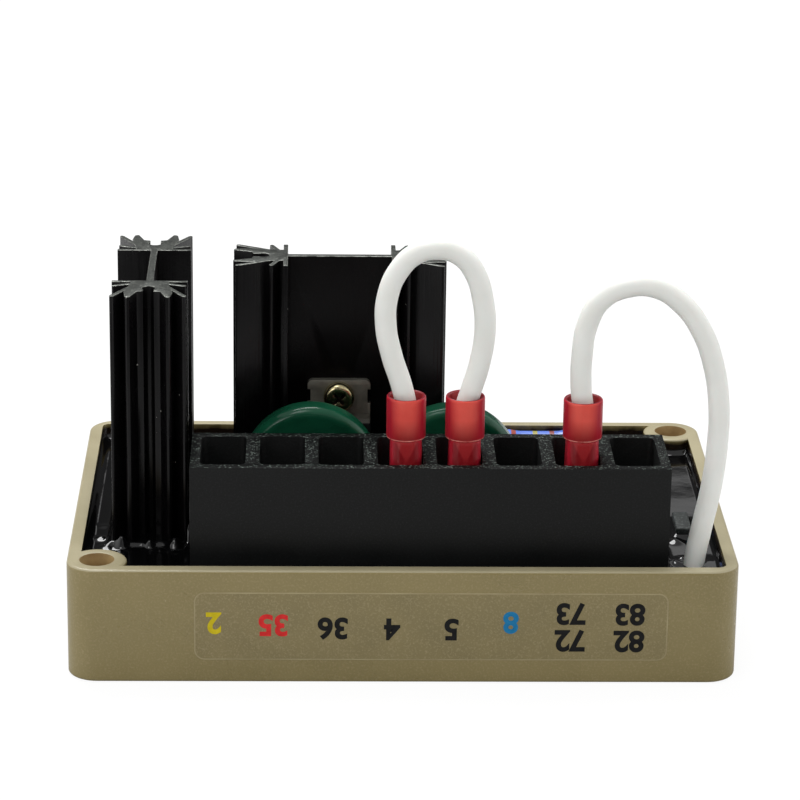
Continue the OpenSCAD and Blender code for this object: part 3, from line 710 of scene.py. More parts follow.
@contextmanager
def editing(piece: Piece, select: str = "SELECT") -> Iterator[None]:
    """Opens a piece in edit mode with all or none of it selected, and closes it after.

    Args:
        piece: The piece.
        select: SELECT for all of it, DESELECT for none.
    """
    take(piece)
    bpy.ops.object.mode_set(mode="EDIT")
    bpy.ops.mesh.select_all(action=select)
    yield
    bpy.ops.object.mode_set(mode="OBJECT")


@contextmanager
def picking(piece: Piece, pick: Pick, wanted: Callable[..., bool]) -> Iterator[None]:
    """Opens a piece in edit mode with just some of its edges or faces selected.

    Args:
        piece: The piece.
        pick: Whether edges or faces are picked.
        wanted: The test, of an edge's two ends or of a face.
    """
    with editing(piece, "DESELECT"):
        bpy.ops.mesh.select_mode(type=pick.value)
    points = piece.data.vertices
    if pick is Pick.EDGE:
        for edge in piece.data.edges:
            edge.select = wanted(*(points[i].co for i in edge.vertices))
    else:
        for face in piece.data.polygons:
            face.select = wanted(face)
    take(piece)
    bpy.ops.object.mode_set(mode="EDIT")
    yield
    bpy.ops.object.mode_set(mode="OBJECT")


def start(add: Callable[..., set[str]], name: str, **settings: object) -> Piece:
    """Adds a plain shape as the start of a new piece.

    Args:
        add: The operator that adds the shape.
        name: The piece's name.
        **settings: The shape's own settings.

    Returns:
        The new piece.
    """
    bpy.ops.object.select_all(action="DESELECT")
    add(**settings)
    piece = bpy.context.object
    piece.name = name
    return piece


def apply_modifier(piece: Piece, kind: str, **settings: object) -> None:
    """Adds a modifier to a piece, sets it up and applies it.

    Args:
        piece: The piece.
        kind: The modifier's type.
        **settings: The modifier's own settings.
    """
    take(piece)
    made = piece.modifiers.new(kind.lower(), kind)
    for name, value in settings.items():
        setattr(made, name, value)
    bpy.ops.object.modifier_apply(modifier=made.name)


def smooth(piece: Piece, degrees: float = 32.0) -> None:
    """Shades a piece smooth, apart from edges sharper than an angle."""
    take(piece)
    bpy.ops.object.shade_smooth_by_angle(angle=math.radians(degrees))


def soften(piece: Piece, width_mm: float, degrees: float = 40.0, segments: int = 3) -> None:
    """Rounds a piece's sharp edges and shades it smooth.

    Args:
        piece: The piece.
        width_mm: The rounding's width.
        degrees: The angle from which an edge is sharp.
        segments: The rounding's steps.
    """
    apply_modifier(
        piece, "BEVEL", width=width_mm * MM, segments=segments, limit_method="ANGLE",
        angle_limit=math.radians(degrees), use_clamp_overlap=True, miter_outer="MITER_ARC",
    )
    smooth(piece)


def clean(piece: Piece) -> None:
    """Merges a piece's doubled points and turns its faces outwards.

    Args:
        piece: The piece.
    """
    with editing(piece):
        bpy.ops.mesh.remove_doubles(threshold=DOUBLED)
        bpy.ops.mesh.normals_make_consistent(inside=False)


def node_copy(node: str, name: str) -> Piece:
    """Copies a CAD node's mesh into a new piece, with its loose triangles joined into faces.

    Args:
        node: The CAD node's name.
        name: The new piece's name.

    Returns:
        The new piece, in the node's place.
    """
    piece = bpy.data.objects.new(name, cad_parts[node].data.copy())
    bpy.context.scene.collection.objects.link(piece)
    take(piece)
    bpy.ops.mesh.customdata_custom_splitnormals_clear()
    piece.data.materials.clear()
    with editing(piece):
        bpy.ops.mesh.remove_doubles(threshold=LOOSE)
        bpy.ops.mesh.dissolve_limited(angle_limit=FLAT)
    return piece


def softened(node: str, name: str, width_mm: float, **settings: float) -> Piece:
    """Copies a CAD node into a new piece with rounded edges.

    Args:
        node: The CAD node's name.
        name: The new piece's name.
        width_mm: The rounding's width.
        **settings: Other settings of the rounding.

    Returns:
        The new piece.
    """
    piece = node_copy(node, name)
    soften(piece, width_mm, **settings)
    return piece


def place(piece: Piece, turn: Matrix = Matrix.Identity(4)) -> None:
    """Moves a piece's mesh by a matrix and leaves its object at the origin.

    Args:
        piece: The piece.
        turn: The matrix.
    """
    piece.data.transform(piece.matrix_world)
    piece.matrix_world = Matrix.Identity(4)
    piece.data.transform(turn)
    piece.data.update()


def join(pieces: Sequence[Piece], name: str) -> Piece:
    """Joins pieces into the first one.

    Args:
        pieces: The pieces.
        name: The name of the whole.

    Returns:
        The whole.
    """
    take(pieces[0])
    for piece in pieces:
        piece.select_set(True)
    bpy.ops.object.join()
    pieces[0].name = name
    return pieces[0]


def paint_faces(piece: Piece, finishes: Sequence[Finish], choose: Callable[[Face], int]) -> None:
    """Gives a piece several finishes.

    Args:
        piece: The piece.
        finishes: The finishes.
        choose: Gives the number of a face's finish.
    """
    for finish in finishes:
        piece.data.materials.append(finish.material())
    for face in piece.data.polygons:
        face.material_index = choose(face)


def dress(piece: Piece, finish: Finish, nodes: Sequence[str] = (), body: str = BODY) -> Piece:
    """Gives a finished piece its material and its body, and hides the CAD nodes that it stands for.

    Args:
        piece: The finished piece.
        finish: The finish of the whole piece; a piece with materials keeps them.
        nodes: The CAD nodes that the piece replaces.
        body: The CAD body that it moves with.

    Returns:
        The same piece.
    """
    if not piece.data.materials:
        piece.data.materials.append(finish.material())
    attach(piece, body)
    if nodes:
        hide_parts(*nodes)
    log.info("%s for %s", piece.name, ", ".join(nodes) or "the scene")
    return piece


def paint_node(node: str, finish: Finish) -> None:
    """Gives a CAD node that stays as it is a better material.

    Args:
        node: The node's name.
        finish: The finish.
    """
    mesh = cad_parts[node].data
    mesh.materials.clear()
    mesh.materials.append(finish.material())
    log.info("%s painted %s", node, finish.name)


def middle(node: str) -> Vector:
    """Gives the middle of a CAD node's box."""
    low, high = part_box(node)
    return (low + high) / 2


@dataclass
class Studio:
    """The photograph's camera, a pale floor and soft light."""

    lens_mm: float = 156.3
    sensor_mm: float = 36.0
    clip_m: Span = (0.01, 20.0)
    eye_mm: Place = (-14.39, -509.76, 207.86)
    yaw_deg: float = -1.617
    pitch_deg: float = 18.925
    roll_deg: float = 0.769
    floor_m: float = 6.0
    floor_drop_mm: float = 0.05
    floor_grey: float = 0.55
    floor_roughness: float = 0.9
    floor_specular: float = 0.1
    floor_glow: float = 1.12
    floor_glow_share: float = 0.82
    soft_boxes: tuple[tuple[str, Place, Place, float, float], ...] = (
        ("overhead_box", (-0.12, 0.36, 0.66), (0.0, 0.0, 0.02), 0.38, 4.4),
        ("front_box", (-0.42, -0.75, 0.42), (0.0, 0.0, 0.03), 0.3, 0.88),
        ("top_strip", (-0.15, -0.2, 0.6), (0.0, 0.0, 0.02), 0.2, 0.5),
    )
    side_span: Span = (0.4, 0.9)
    side_light: float = 1.2
    top_span: Span = (0.4, 0.95)
    top_light: float = 0.6
    pane_slant: Span = (0.02, 0.05)
    pane_foot: Span = (0.338, 0.352)
    pane_top: Span = (0.5, 0.7)
    pane_light: float = 0.6
    base_light: float = 0.06

    def build(self) -> None:
        """Makes the camera, the floor, the lamps and the world."""
        self.camera()
        self.floor()
        for lamp in self.soft_boxes:
            self.soft_box(*lamp)
        self.world()
        bpy.context.scene.view_settings.view_transform = "Standard"

    def camera(self) -> None:
        """Sets the camera where the photograph was taken from."""
        yaw, pitch, roll = (math.radians(a) for a in (self.yaw_deg, self.pitch_deg, self.roll_deg))
        side = Vector((math.cos(yaw), math.sin(yaw), 0.0))
        level = Vector((-math.sin(yaw), math.cos(yaw), 0.0))
        ahead = math.cos(pitch) * level - Vector((0.0, 0.0, math.sin(pitch)))
        up = side.cross(ahead)
        right = math.cos(roll) * side + math.sin(roll) * up
        top = math.cos(roll) * up - math.sin(roll) * side
        turn = Matrix((right, top, -ahead)).transposed().to_4x4()
        data = bpy.data.cameras.new("photo_camera")
        data.lens = self.lens_mm
        data.sensor_width = self.sensor_mm
        data.sensor_fit = "HORIZONTAL"
        data.clip_start, data.clip_end = self.clip_m
        camera = bpy.data.objects.new("photo_camera", data)
        camera.matrix_world = Matrix.Translation(Vector(self.eye_mm) * MM) @ turn
        bpy.context.scene.collection.objects.link(camera)
        bpy.context.scene.camera = camera

    def floor(self) -> None:
        """Lays a white floor that keeps a faint shadow."""
        drop = (0.0, 0.0, -self.floor_drop_mm * MM)
        floor = start(
            bpy.ops.mesh.primitive_plane_add, "studio_floor", size=self.floor_m, location=drop
        )
        made = bpy.data.materials.new("studio_floor")
        made.use_nodes = True
        graph = Graph(made.node_tree)
        shader = made.node_tree.nodes["Principled BSDF"]
        shader.inputs["Base Color"].default_value = (*[self.floor_grey] * 3, 1.0)
        shader.inputs["Roughness"].default_value = self.floor_roughness
        shader.inputs["Specular IOR Level"].default_value = self.floor_specular
        glow = {"Color": (1.0, 1.0, 1.0, 1.0), "Strength": self.floor_glow}
        white = graph.add("ShaderNodeEmission", glow)
        rays = graph.add("ShaderNodeLightPath")
        seen = graph.math("MULTIPLY", rays.outputs["Is Camera Ray"], self.floor_glow_share)
        mixed = graph.add("ShaderNodeMixShader", {0: seen, 1: shader.outputs[0], 2: white.outputs[0]})
        graph.feed(made.node_tree.nodes["Material Output"].inputs["Surface"], mixed.outputs[0])
        floor.data.materials.append(made)

    @staticmethod
    def soft_box(name: str, at: Place, to: Place, size: float, watts: float) -> None:
        """Adds one square area lamp.

        Args:
            name: The lamp's name.
            at: Its place in metres.
            to: The place that it points at.
            size: Its side in metres.
            watts: Its power.
        """
        data = bpy.data.lights.new(name, "AREA")
        data.size, data.energy = size, watts
        lamp = bpy.data.objects.new(name, data)
        lamp.location = at
        lamp.rotation_euler = (Vector(to) - Vector(at)).to_track_quat("-Z", "Y").to_euler()
        bpy.context.scene.collection.objects.link(lamp)

    def world(self) -> None:
        """Surrounds the object with light: bright above and at both sides, a pane behind, dim in front."""
        world = bpy.data.worlds.new("studio_world")
        world.use_nodes = True
        bpy.context.scene.world = world
        graph = Graph(world.node_tree)
        sky = world.node_tree.nodes["Background"]
        way = graph.add("ShaderNodeTexCoord").outputs["Generated"]
        across, away, up = graph.add("ShaderNodeSeparateXYZ", {0: way}).outputs
        sides = graph.span(graph.math("ABSOLUTE", across), *self.side_span, (0.0, self.side_light))
        above = graph.span(up, *self.top_span, (0.0, self.top_light))
        slant = graph.math("DIVIDE", across, graph.math("MAXIMUM", away, 0.01))
        pane = graph.span(slant, *self.pane_slant, (0.0, self.pane_light))
        pane = graph.math("MULTIPLY", pane, graph.span(up, *self.pane_foot, (0.0, 1.0)))
        pane = graph.math("MULTIPLY", pane, graph.span(up, *self.pane_top, (1.0, 0.0)))
        lit = graph.math("ADD", graph.math("ADD", sides, above), graph.math("ADD", pane, self.base_light))
        seen = graph.add("ShaderNodeLightPath").outputs["Is Camera Ray"]
        graph.feed(sky.inputs["Strength"], graph.math("MAXIMUM", lit, seen))
        sky.inputs["Color"].default_value = (1.0, 1.0, 1.0, 1.0)


@dataclass
class Tray:
    """The tan tray, with its label film and the marks printed on it."""

    edge_mm: float = 0.22
    wall_mm: float = 2.0
    wall_share: float = 0.9
    wall_slope: float = 0.5
    rim_slope: float = 0.4
    boss_mm: float = 4.5
    hole_mm: float = 3.0
    film_x_mm: Span = (-31.0, 39.3)
    film_z_mm: Span = (3.65, 14.4)
    film_thick_mm: float = 0.09
    film_corner_mm: float = 1.5
    film_corner_steps: int = 8
    film_edge_mm: float = 0.035
    film_border_mm: float = 0.15
    mark_mm: float = 3.35
    mark_em: float = 1.38
    mark_line: float = 0.93
    mark_weight: float = 0.045
    mark_thick_mm: float = 0.012
    mark_lift_mm: float = 0.006
    mark_shift_mm: float = -2.05
    mark_steps: int = 6
    marks: tuple[tuple[str, Colour, float], ...] = (
        ("2", srgb(196, 176, 20), 9.5), ("35", srgb(206, 40, 40), 9.2), ("36", srgb(9, 9, 10), 8.7),
        ("4", srgb(9, 9, 10), 8.6), ("5", srgb(9, 9, 10), 8.6), ("8", srgb(20, 112, 160), 9.7),
        ("72\n73", srgb(9, 9, 10), 9.0), ("82\n83", srgb(9, 9, 10), 8.9),
    )

    def build(self) -> None:
        """Makes the tray, the film and the marks."""
        shell = softened("case", "tray_moulding", self.edge_mm, degrees=50.0)
        low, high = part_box("case")
        inset = Vector((self.boss_mm, self.boss_mm)) * MM
        holes = (low.xy + inset, high.xy - inset)
        finishes = (TAN_PLASTIC, TAN_RESIN_REFLECTION, BORE_SHADING_TAN, RIM_SHEEN_TAN)
        # The inner walls carry a painted reflection of the resin, the bores painted light and shade, and
        # the rim's top a painted sheen.
        paint_faces(shell, finishes, lambda face: self.zone(face, low, high, holes))
        dress(shell, TAN_PLASTIC, ["case"])
        self.film()
        for number, (text, colour, height) in enumerate(self.marks, 1):
            self.mark(number, text, colour, height)

    def zone(self, face: Face, low: Vector, high: Vector, holes: Sequence[Vector]) -> int:
        """Tells apart the outside, the inner walls with their painted reflection of the resin, the screw
        bores with their painted light and shade, and the rim's top with its painted sheen.

        Args:
            face: A face of the tray.
            low: The lower corner of the tray's box.
            high: Its upper corner.
            holes: The screw holes' places.

        Returns:
            The number of the face's finish.
        """
        at = face.center
        depth = min(at.x - low.x, high.x - at.x, at.y - low.y, high.y - at.y)
        if depth > self.wall_mm * self.wall_share * MM and abs(face.normal.z) < self.wall_slope:
            return 2 if any((at.xy - hole).length < self.hole_mm * MM for hole in holes) else 1
        return 3 if at.z > high.z - self.edge_mm * MM and face.normal.z > self.rim_slope else 0

    def face(self) -> float:
        """Gives the front face's place along Y."""
        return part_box("case")[0].y

    def film(self) -> None:
        """Makes the clear label: a thin plate with round corners and a painted highlight along its cut
        edge.
        """
        low, high = self.film_x_mm, self.film_z_mm
        film = start(bpy.ops.mesh.primitive_cube_add, "label_film", size=1.0)
        size = ((low[1] - low[0]) * MM, self.film_thick_mm * MM, (high[1] - high[0]) * MM)
        at = Vector((sum(low) / 2 * MM, self.face(), sum(high) / 2 * MM))
        place(film, Matrix.Translation(at) @ Matrix.Diagonal((*size, 1.0)))
        with picking(film, Pick.EDGE, lambda a, b: abs(a.y - b.y) > size[1] / 2):
            bpy.ops.mesh.bevel(
                offset=self.film_corner_mm * MM, segments=self.film_corner_steps, affect="EDGES"
            )
        soften(film, self.film_edge_mm, degrees=60.0, segments=2)
        front = min(film.data.polygons, key=lambda face: face.center.y).index
        with picking(film, Pick.FACE, lambda face: face.index == front):
            bpy.ops.mesh.inset(thickness=self.film_border_mm * MM, depth=0.0)
        widest = max(face.area for face in film.data.polygons)
        # Painted highlight: the film's border and cut edge get a paler tan than its face.
        paint_faces(film, (LABEL_FILM, FILM_EDGE_HIGHLIGHT), lambda face: int(face.area < 0.9 * widest))
        dress(film, LABEL_FILM)

    def mark(self, number: int, text: str, colour: Colour, height_mm: float) -> None:
        """Prints one terminal's mark on the film, to be read from the other side of the tray.

        Args:
            number: The terminal's number in the row.
            text: The mark.
            colour: Its ink's colour.
            height_mm: The place of its middle along Z.
        """
        bpy.ops.object.select_all(action="DESELECT")
        bpy.ops.object.text_add()
        mark = bpy.context.object
        mark.data.body = text
        mark.data.align_x, mark.data.align_y = "CENTER", "CENTER"
        mark.data.size = self.mark_mm * MM * self.mark_em
        mark.data.space_line = self.mark_line
        mark.data.offset = self.mark_weight * self.mark_mm * MM
        mark.data.extrude = self.mark_thick_mm * MM
        mark.data.resolution_u = self.mark_steps
        bpy.ops.object.convert(target="MESH")
        mark.name = f"terminal_mark_{number}"
        bounds = [Vector(c) for c in mark.bound_box]
        centre = (bounds[0] + bounds[6]) / 2
        x = middle(f"blade_terminal_{number}").x + self.mark_shift_mm * MM
        y = self.face() - (self.film_thick_mm / 2 + self.mark_lift_mm) * MM
        upside_down = Matrix(((-1, 0, 0), (0, 0, -1), (0, -1, 0))).to_4x4()
        at = Matrix.Translation((x, y, height_mm * MM))
        place(mark, at @ upside_down @ Matrix.Translation(-centre))
        clean(mark)
        dress(mark, ink(f"mark_ink_{number}", colour))


@dataclass
class Resin:
    """The black potting: a shiny surface that climbs every wall and piece that it meets."""

    columns: int = 200
    rows: int = 134
    fine_x_mm: Span = (-36.0, 39.0)
    cut_margin_mm: float = 0.9
    top_depth_mm: float = 1.0
    climb_mm: float = 0.75
    climb_reach_mm: float = 0.7
    right_wall_steepness: float = 2.2
    unevenness_mm: float = 0.03
    swell_mm: float = 7.0
    wall_mm: float = 2.05
    boss_mm: float = 4.5
    lead_at_mm: Span = (43.9, -24.5)
    lead_r_mm: float = 1.6
    lead_calm_mm: float = 1.0
    lumps: tuple[Section, ...] = (
        (41.3, -24.1, 0.5, 1.0), (42.0, -15.2, 0.55, 1.1), (42.4, -21.9, 0.3, 0.6),
        (46.6, -23.6, 0.15, 2.2), (-45.5, -9.2, 0.12, 0.9), (-45.7, -14.6, 0.45, 0.8),
        (-44.6, -18.2, 0.5, 0.9), (-42.4, -18.2, 1.5, 0.8), (-38.2, -18.2, 0.9, 0.6),
        (-34.4, -18.4, 1.6, 0.85), (-33.2, -21.0, 0.4, 0.7), (-36.6, -19.6, 0.45, 0.7),
        (-27.0, -10.6, 0.4, 1.8), (15.0, 1.0, 0.3, 2.6), (30.0, 20.0, 0.25, 3.0),
    )
    boxes: list[Box] = field(default_factory=list)
    walls: Box = (Vector(), Vector())

    def build(self) -> None:
        """Makes the resin's surface from a grid, cuts it round the blocks and closes it below."""
        low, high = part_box("potting")
        self.walls = (low / MM, high / MM)
        blocks = ("terminal_housing", "voltage_trimmer_body", "stability_trimmer_body")
        cut = [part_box(n) for n in blocks]
        self.boxes = cut + [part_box(n) for n in ("block_capacitor", "left_heat_sink", "rear_heat_sink")]
        resin = start(
            bpy.ops.mesh.primitive_grid_add, "potting_surface", x_subdivisions=self.columns,
            y_subdivisions=self.rows, size=1.0,
        )
        size, at = high - low, (low + high) / 2
        lay = Matrix.Diagonal((size.x, size.y, 1.0, 1.0))
        place(resin, Matrix.Translation((at.x, at.y, high.z)) @ lay)
        self.cut_round(resin, cut)
        self.refine(resin)
        with editing(resin):
            bpy.ops.mesh.extrude_region_move(TRANSFORM_OT_translate={"value": (0.0, 0.0, low.z - high.z)})
        for point in resin.data.vertices:
            if point.co.z > high.z - self.top_depth_mm * MM:
                point.co.z = high.z + self.rise(point.co.x / MM, point.co.y / MM) * MM
        clean(resin)
        smooth(resin, 60.0)
        dress(resin, RESIN, ["potting"])

    def cut_round(self, resin: Piece, boxes: Sequence[Box]) -> None:
        """Deletes the grid's faces well inside the blocks that stand in the resin and inside the bosses.

        Args:
            resin: The grid.
            boxes: The blocks' boxes.
        """
        low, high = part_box("case")
        inset, margin = self.boss_mm * MM, self.cut_margin_mm * MM
        bosses = (Vector((low.x + inset, low.y + inset)), Vector((high.x - inset, high.y - inset)))

        def inside(face: Face) -> bool:
            """Tells whether a face lies well inside a block or a boss.

            Args:
                face: A face of the grid.

            Returns:
                Whether it is cut away.
            """
            at = face.center
            return any(
                a.x + margin < at.x < b.x - margin and a.y + margin < at.y < b.y - margin for a, b in boxes
            ) or any((at.xy - boss).length < inset - margin for boss in bosses)

        with picking(resin, Pick.FACE, inside):
            bpy.ops.mesh.delete(type="FACE")

    def refine(self, resin: Piece) -> None:
        """Divides the grid finer at the two ends of the tray, where the surface is seen close.

        Args:
            resin: The grid.
        """
        low, high = (x * MM for x in self.fine_x_mm)
        with picking(resin, Pick.FACE, lambda face: not low < face.center.x < high):
            bpy.ops.mesh.subdivide(number_cuts=1)

    def rise(self, x: float, y: float) -> float:
        """Gives the surface's height over its level, all in millimetres.

        Args:
            x: The place along X.
            y: The place along Y.

        Returns:
            The height: climb at the nearest wall, slow swell and lumps.
        """
        low, high = self.walls
        gaps = [x - low.x, (high.x - x) * self.right_wall_steepness, y - low.y, high.y - y]
        for a, b in self.boxes:
            gaps.append(math.hypot(max(a.x / MM - x, 0, x - b.x / MM), max(a.y / MM - y, 0, y - b.y / MM)))
        corner = Vector((high.x, high.y)) + Vector((1, 1)) * (self.wall_mm - self.boss_mm)
        for boss in (-corner, corner):
            gaps.append(abs((Vector((x, y)) - boss).length - self.boss_mm))
        lead = math.hypot(x - self.lead_at_mm[0], y - self.lead_at_mm[1])
        gaps.append(max(0.0, lead - self.lead_r_mm) + self.lead_calm_mm)
        climb = self.climb_mm * math.exp(-((max(0.0, min(gaps)) / self.climb_reach_mm) ** 2))
        swell = self.unevenness_mm * noise.noise(Vector((x / self.swell_mm, y / self.swell_mm, 0.0)))
        lump = sum(h * math.exp(-((x - cx) ** 2 + (y - cy) ** 2) / r**2) for cx, cy, h, r in self.lumps)
        return climb + swell + lump


@dataclass
class TerminalBlock:
    """The black housing with eight cells, and the blades that stand in them."""

    edge_mm: float = 0.2
    blade_edge_mm: float = 0.1
    top_slope: float = 0.3
    cells: int = 8

    def build(self) -> None:
        """Softens the housing and the blades and dresses them."""
        housing = softened("terminal_housing", "terminal_moulding", self.edge_mm)
        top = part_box("terminal_housing")[1].z - self.edge_mm * MM
        # The top faces get the stippled copy with its painted glints.
        paint_faces(
            housing, (BLACK_MOULDING, STIPPLE_GLINT_TOP),
            lambda face: int(face.center.z > top and face.normal.z > self.top_slope),
        )
        dress(housing, BLACK_MOULDING, ["terminal_housing"])
        for number in range(1, self.cells + 1):
            node = f"blade_terminal_{number}"
            blade = softened(node, f"blade_{number}", self.blade_edge_mm, segments=2)
            dress(blade, TINNED, [node])


@dataclass
class HeatSinks:
    """Two black extruded sinks whose sawn ends show bare metal."""

    edge_mm: float = 0.09
    web_mm2: float = 400.0
    end_slope: float = 0.95
    same_way: float = 0.99

    def build(self) -> None:
        """Softens both sinks and gives their cut ends and webs finishes of their own, with a painted
        highlight on the cut ends' edges and painted shade on the webs.
        """
        for side in ("left", "rear"):
            node = f"{side}_heat_sink"
            sink = softened(node, f"{side}_extrusion", self.edge_mm, degrees=32.0, segments=2)
            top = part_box(node)[1].z - self.edge_mm * MM
            large = [face for face in sink.data.polygons if face.area > self.web_mm2 * MM**2]
            webs = [(face.center.copy(), face.normal.copy()) for face in large]
            # The cut ends' edges get a painted highlight and the webs painted shade.
            paint_faces(sink, (ANODISED, SAWN, BURR_HIGHLIGHT, SHADED_WEB_BLACK), lambda face: self.zone(face, top, webs))
            dress(sink, ANODISED, [node])
        paint_node("heat_sink_pins", TINNED)

    def zone(self, face: Face, top: float, webs: Sequence[Box]) -> int:
        """Tells the sides, the cut end, its burr with its painted highlight and the webs with their
        painted shade apart.

        Args:
            face: A face of the sink.
            top: The height at which the cut end's rounding starts.
            webs: A place on each web's face, and that face's normal.

        Returns:
            The number of the face's finish.
        """
        if face.center.z > top:
            return 1 if face.normal.z > self.end_slope else 2
        for at, normal in webs:
            off = abs((face.center - at).dot(normal))
            if face.normal.dot(normal) > self.same_way and off < 2 * TOUCH:
                return 3
        return 0


@dataclass
class PowerDevices:
    """The two devices on the sinks: tab, plastic body, leads, pan-head screw and nut."""

    tab_edge_mm: float = 0.14
    tab_corner_mm: float = 0.8
    tab_corner_steps: int = 6
    tab_trim_mm: float = 0.4
    body_edge_mm: float = 0.18
    nut_edge_mm: float = 0.22
    hole_drop_mm: float = 3.0
    head_r_mm: float = 2.4
    head_sides: int = 48
    head_mm: float = 1.7
    head_dome_mm: float = 0.8
    head_dome_steps: int = 8
    head_rim_share: float = 0.9
    head_edge_mm: float = 0.05
    cross_mm: float = 0.62
    cross_reach_mm: float = 1.45
    cross_tall_mm: float = 2.0
    cross_taper: float = 0.55
    recess_floor_mm: float = 0.3
    recess_top: float = 0.95
    shank_r_mm: float = 1.25
    shank_mm: float = 5.1
    shank_sides: int = 32
    shank_cuts: int = 24
    thread_root: float = 0.9
    screw_turns_deg: Span = (25.0, 40.0)

    def build(self) -> None:
        """Dresses the devices and makes their screws and nuts."""
        for side in ("left", "rear"):
            dress(self.tab(side), TAB_METAL, [f"{side}_device_tab"])
            body = softened(f"{side}_device_body", f"{side}_package", self.body_edge_mm)
            # The body's upward faces are paler grey.
            paint_faces(body, (BLACK_EPOXY, PALE_TOP_EPOXY), lambda face: int(face.normal.z > 0.5))
            dress(body, BLACK_EPOXY, [f"{side}_device_body"])
        nuts = softened("device_nuts", "hex_nuts", self.nut_edge_mm)
        dress(nuts, PLATED, ["device_nuts"])
        screws = join([self.screw(seat) for seat in self.seats()], "pan_head_screws")
        dress(screws, PLATED, ["device_screws"])
        paint_node("device_leads", TINNED)

    def tab(self, side: str) -> Piece:
        """Makes a tab: the solid, trimmed at the top, with its two upper corners rounded.

        Args:
            side: The sink that it is on.

        Returns:
            The tab.
        """
        tab = node_copy(f"{side}_device_tab", f"{side}_tab")
        low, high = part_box(f"{side}_device_tab")
        for point in tab.data.vertices:
            if point.co.z > high.z - TOUCH:
                point.co.z -= self.tab_trim_mm * MM
        top = high.z - self.tab_trim_mm * MM
        wide = max((0, 1), key=lambda axis: high[axis] - low[axis])

        def at_corner(a: Vector, b: Vector) -> bool:
            """Tells whether an edge runs through the tab at an upper corner.

            Args:
                a: One end of the edge.
                b: Its other end.

            Returns:
                Whether it is rounded.
            """
            across = abs(a[wide] - b[wide]) < TOUCH
            outer = min(a[wide] - low[wide], high[wide] - a[wide]) < TOUCH
            return min(a.z, b.z) > top - TOUCH and across and outer

        with picking(tab, Pick.EDGE, at_corner):
            bpy.ops.mesh.bevel(
                offset=self.tab_corner_mm * MM, segments=self.tab_corner_steps, affect="EDGES"
            )
        soften(tab, self.tab_edge_mm)
        return tab

    def seats(self) -> list[Matrix]:
        """Finds where the two screws sit.

        Returns:
            A frame for each screw: its origin on the tab's face and its Z out of it.
        """
        left_turn, rear_turn = (Matrix.Rotation(math.radians(a), 4, "Z") for a in self.screw_turns_deg)
        low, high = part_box("rear_device_tab")
        rear = Matrix.Translation(((low.x + high.x) / 2, low.y, high.z - self.hole_drop_mm * MM))
        low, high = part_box("left_device_tab")
        left = Matrix.Translation((high.x, (low.y + high.y) / 2, high.z - self.hole_drop_mm * MM))
        return [
            left @ Matrix.Rotation(QUARTER, 4, "Y") @ left_turn,
            rear @ Matrix.Rotation(QUARTER, 4, "X") @ rear_turn,
        ]

    def screw(self, seat: Matrix) -> Piece:
        """Makes one screw: a domed head with a cross recess, and its shank.

        Args:
            seat: The frame that the screw sits in.

        Returns:
            The screw.
        """
        head = start(
            bpy.ops.mesh.primitive_cylinder_add, "screw_head", vertices=self.head_sides,
            radius=self.head_r_mm * MM, depth=self.head_mm * MM, location=(0, 0, self.head_mm / 2 * MM),
        )
        place(head)
        rim = self.head_mm * self.head_rim_share * MM
        with picking(head, Pick.EDGE, lambda a, b: min(a.z, b.z) > rim):
            bpy.ops.mesh.bevel(
                offset=self.head_dome_mm * MM, segments=self.head_dome_steps, affect="EDGES",
                clamp_overlap=True,
            )
        cutter = self.cross()
        apply_modifier(head, "BOOLEAN", object=cutter, operation="DIFFERENCE", solver="EXACT")
        bpy.data.objects.remove(cutter)
        soften(head, self.head_edge_mm, degrees=50.0, segments=2)
        # The recess faces get the painted shade.
        paint_faces(head, (PLATED, RECESS_SHADE), self.in_recess)
        screw = join([head, self.shank()], "pan_head_screw")
        place(screw, seat)
        return screw

    def in_recess(self, face: Face) -> int:
        """Tells a face of the cross recess, which is painted dark as shade, from the rest of the head."""
        sunk = self.recess_floor_mm < face.center.z / MM < self.recess_top * self.head_mm
        return int(sunk and face.center.xy.length < self.cross_reach_mm * MM)

    def cross(self) -> Piece:
        """Makes the tool that cuts the cross recess: two tapered bars through each other.

        Returns:
            The tool.
        """
        bars = []
        for turn in (0.0, QUARTER):
            top = (0, 0, self.head_mm * MM)
            bar = start(bpy.ops.mesh.primitive_cube_add, "recess_tool", size=1.0, location=top)
            bar.scale = (2 * self.cross_reach_mm * MM, self.cross_mm * MM, self.cross_tall_mm * MM)
            bar.rotation_euler.z = turn
            bpy.context.view_layer.update()
            place(bar)
            for point in bar.data.vertices:
                if point.co.z < self.head_mm * MM:
                    point.co.xy *= self.cross_taper
            bars.append(bar)
        apply_modifier(bars[0], "BOOLEAN", object=bars[1], operation="UNION", solver="EXACT")
        bpy.data.objects.remove(bars[1])
        return bars[0]

    def shank(self) -> Piece:
        """Makes the shank with the thread's crests as rings, ending past the nut.

        Returns:
            The shank.
        """
        length = self.shank_mm * MM
        shank = start(
            bpy.ops.mesh.primitive_cylinder_add, "screw_shank", vertices=self.shank_sides,
            radius=self.shank_r_mm * MM, depth=length, location=(0, 0, -length / 2),
        )
        place(shank)
        with picking(shank, Pick.EDGE, lambda a, b: abs(a.z - b.z) > length / 2):
            bpy.ops.mesh.subdivide(number_cuts=self.shank_cuts)
        pitch = length / (self.shank_cuts + 1)
        for point in shank.data.vertices:
            if round(-point.co.z / pitch) % 2:
                point.co.xy *= self.thread_root
        smooth(shank, 50.0)
        return shank


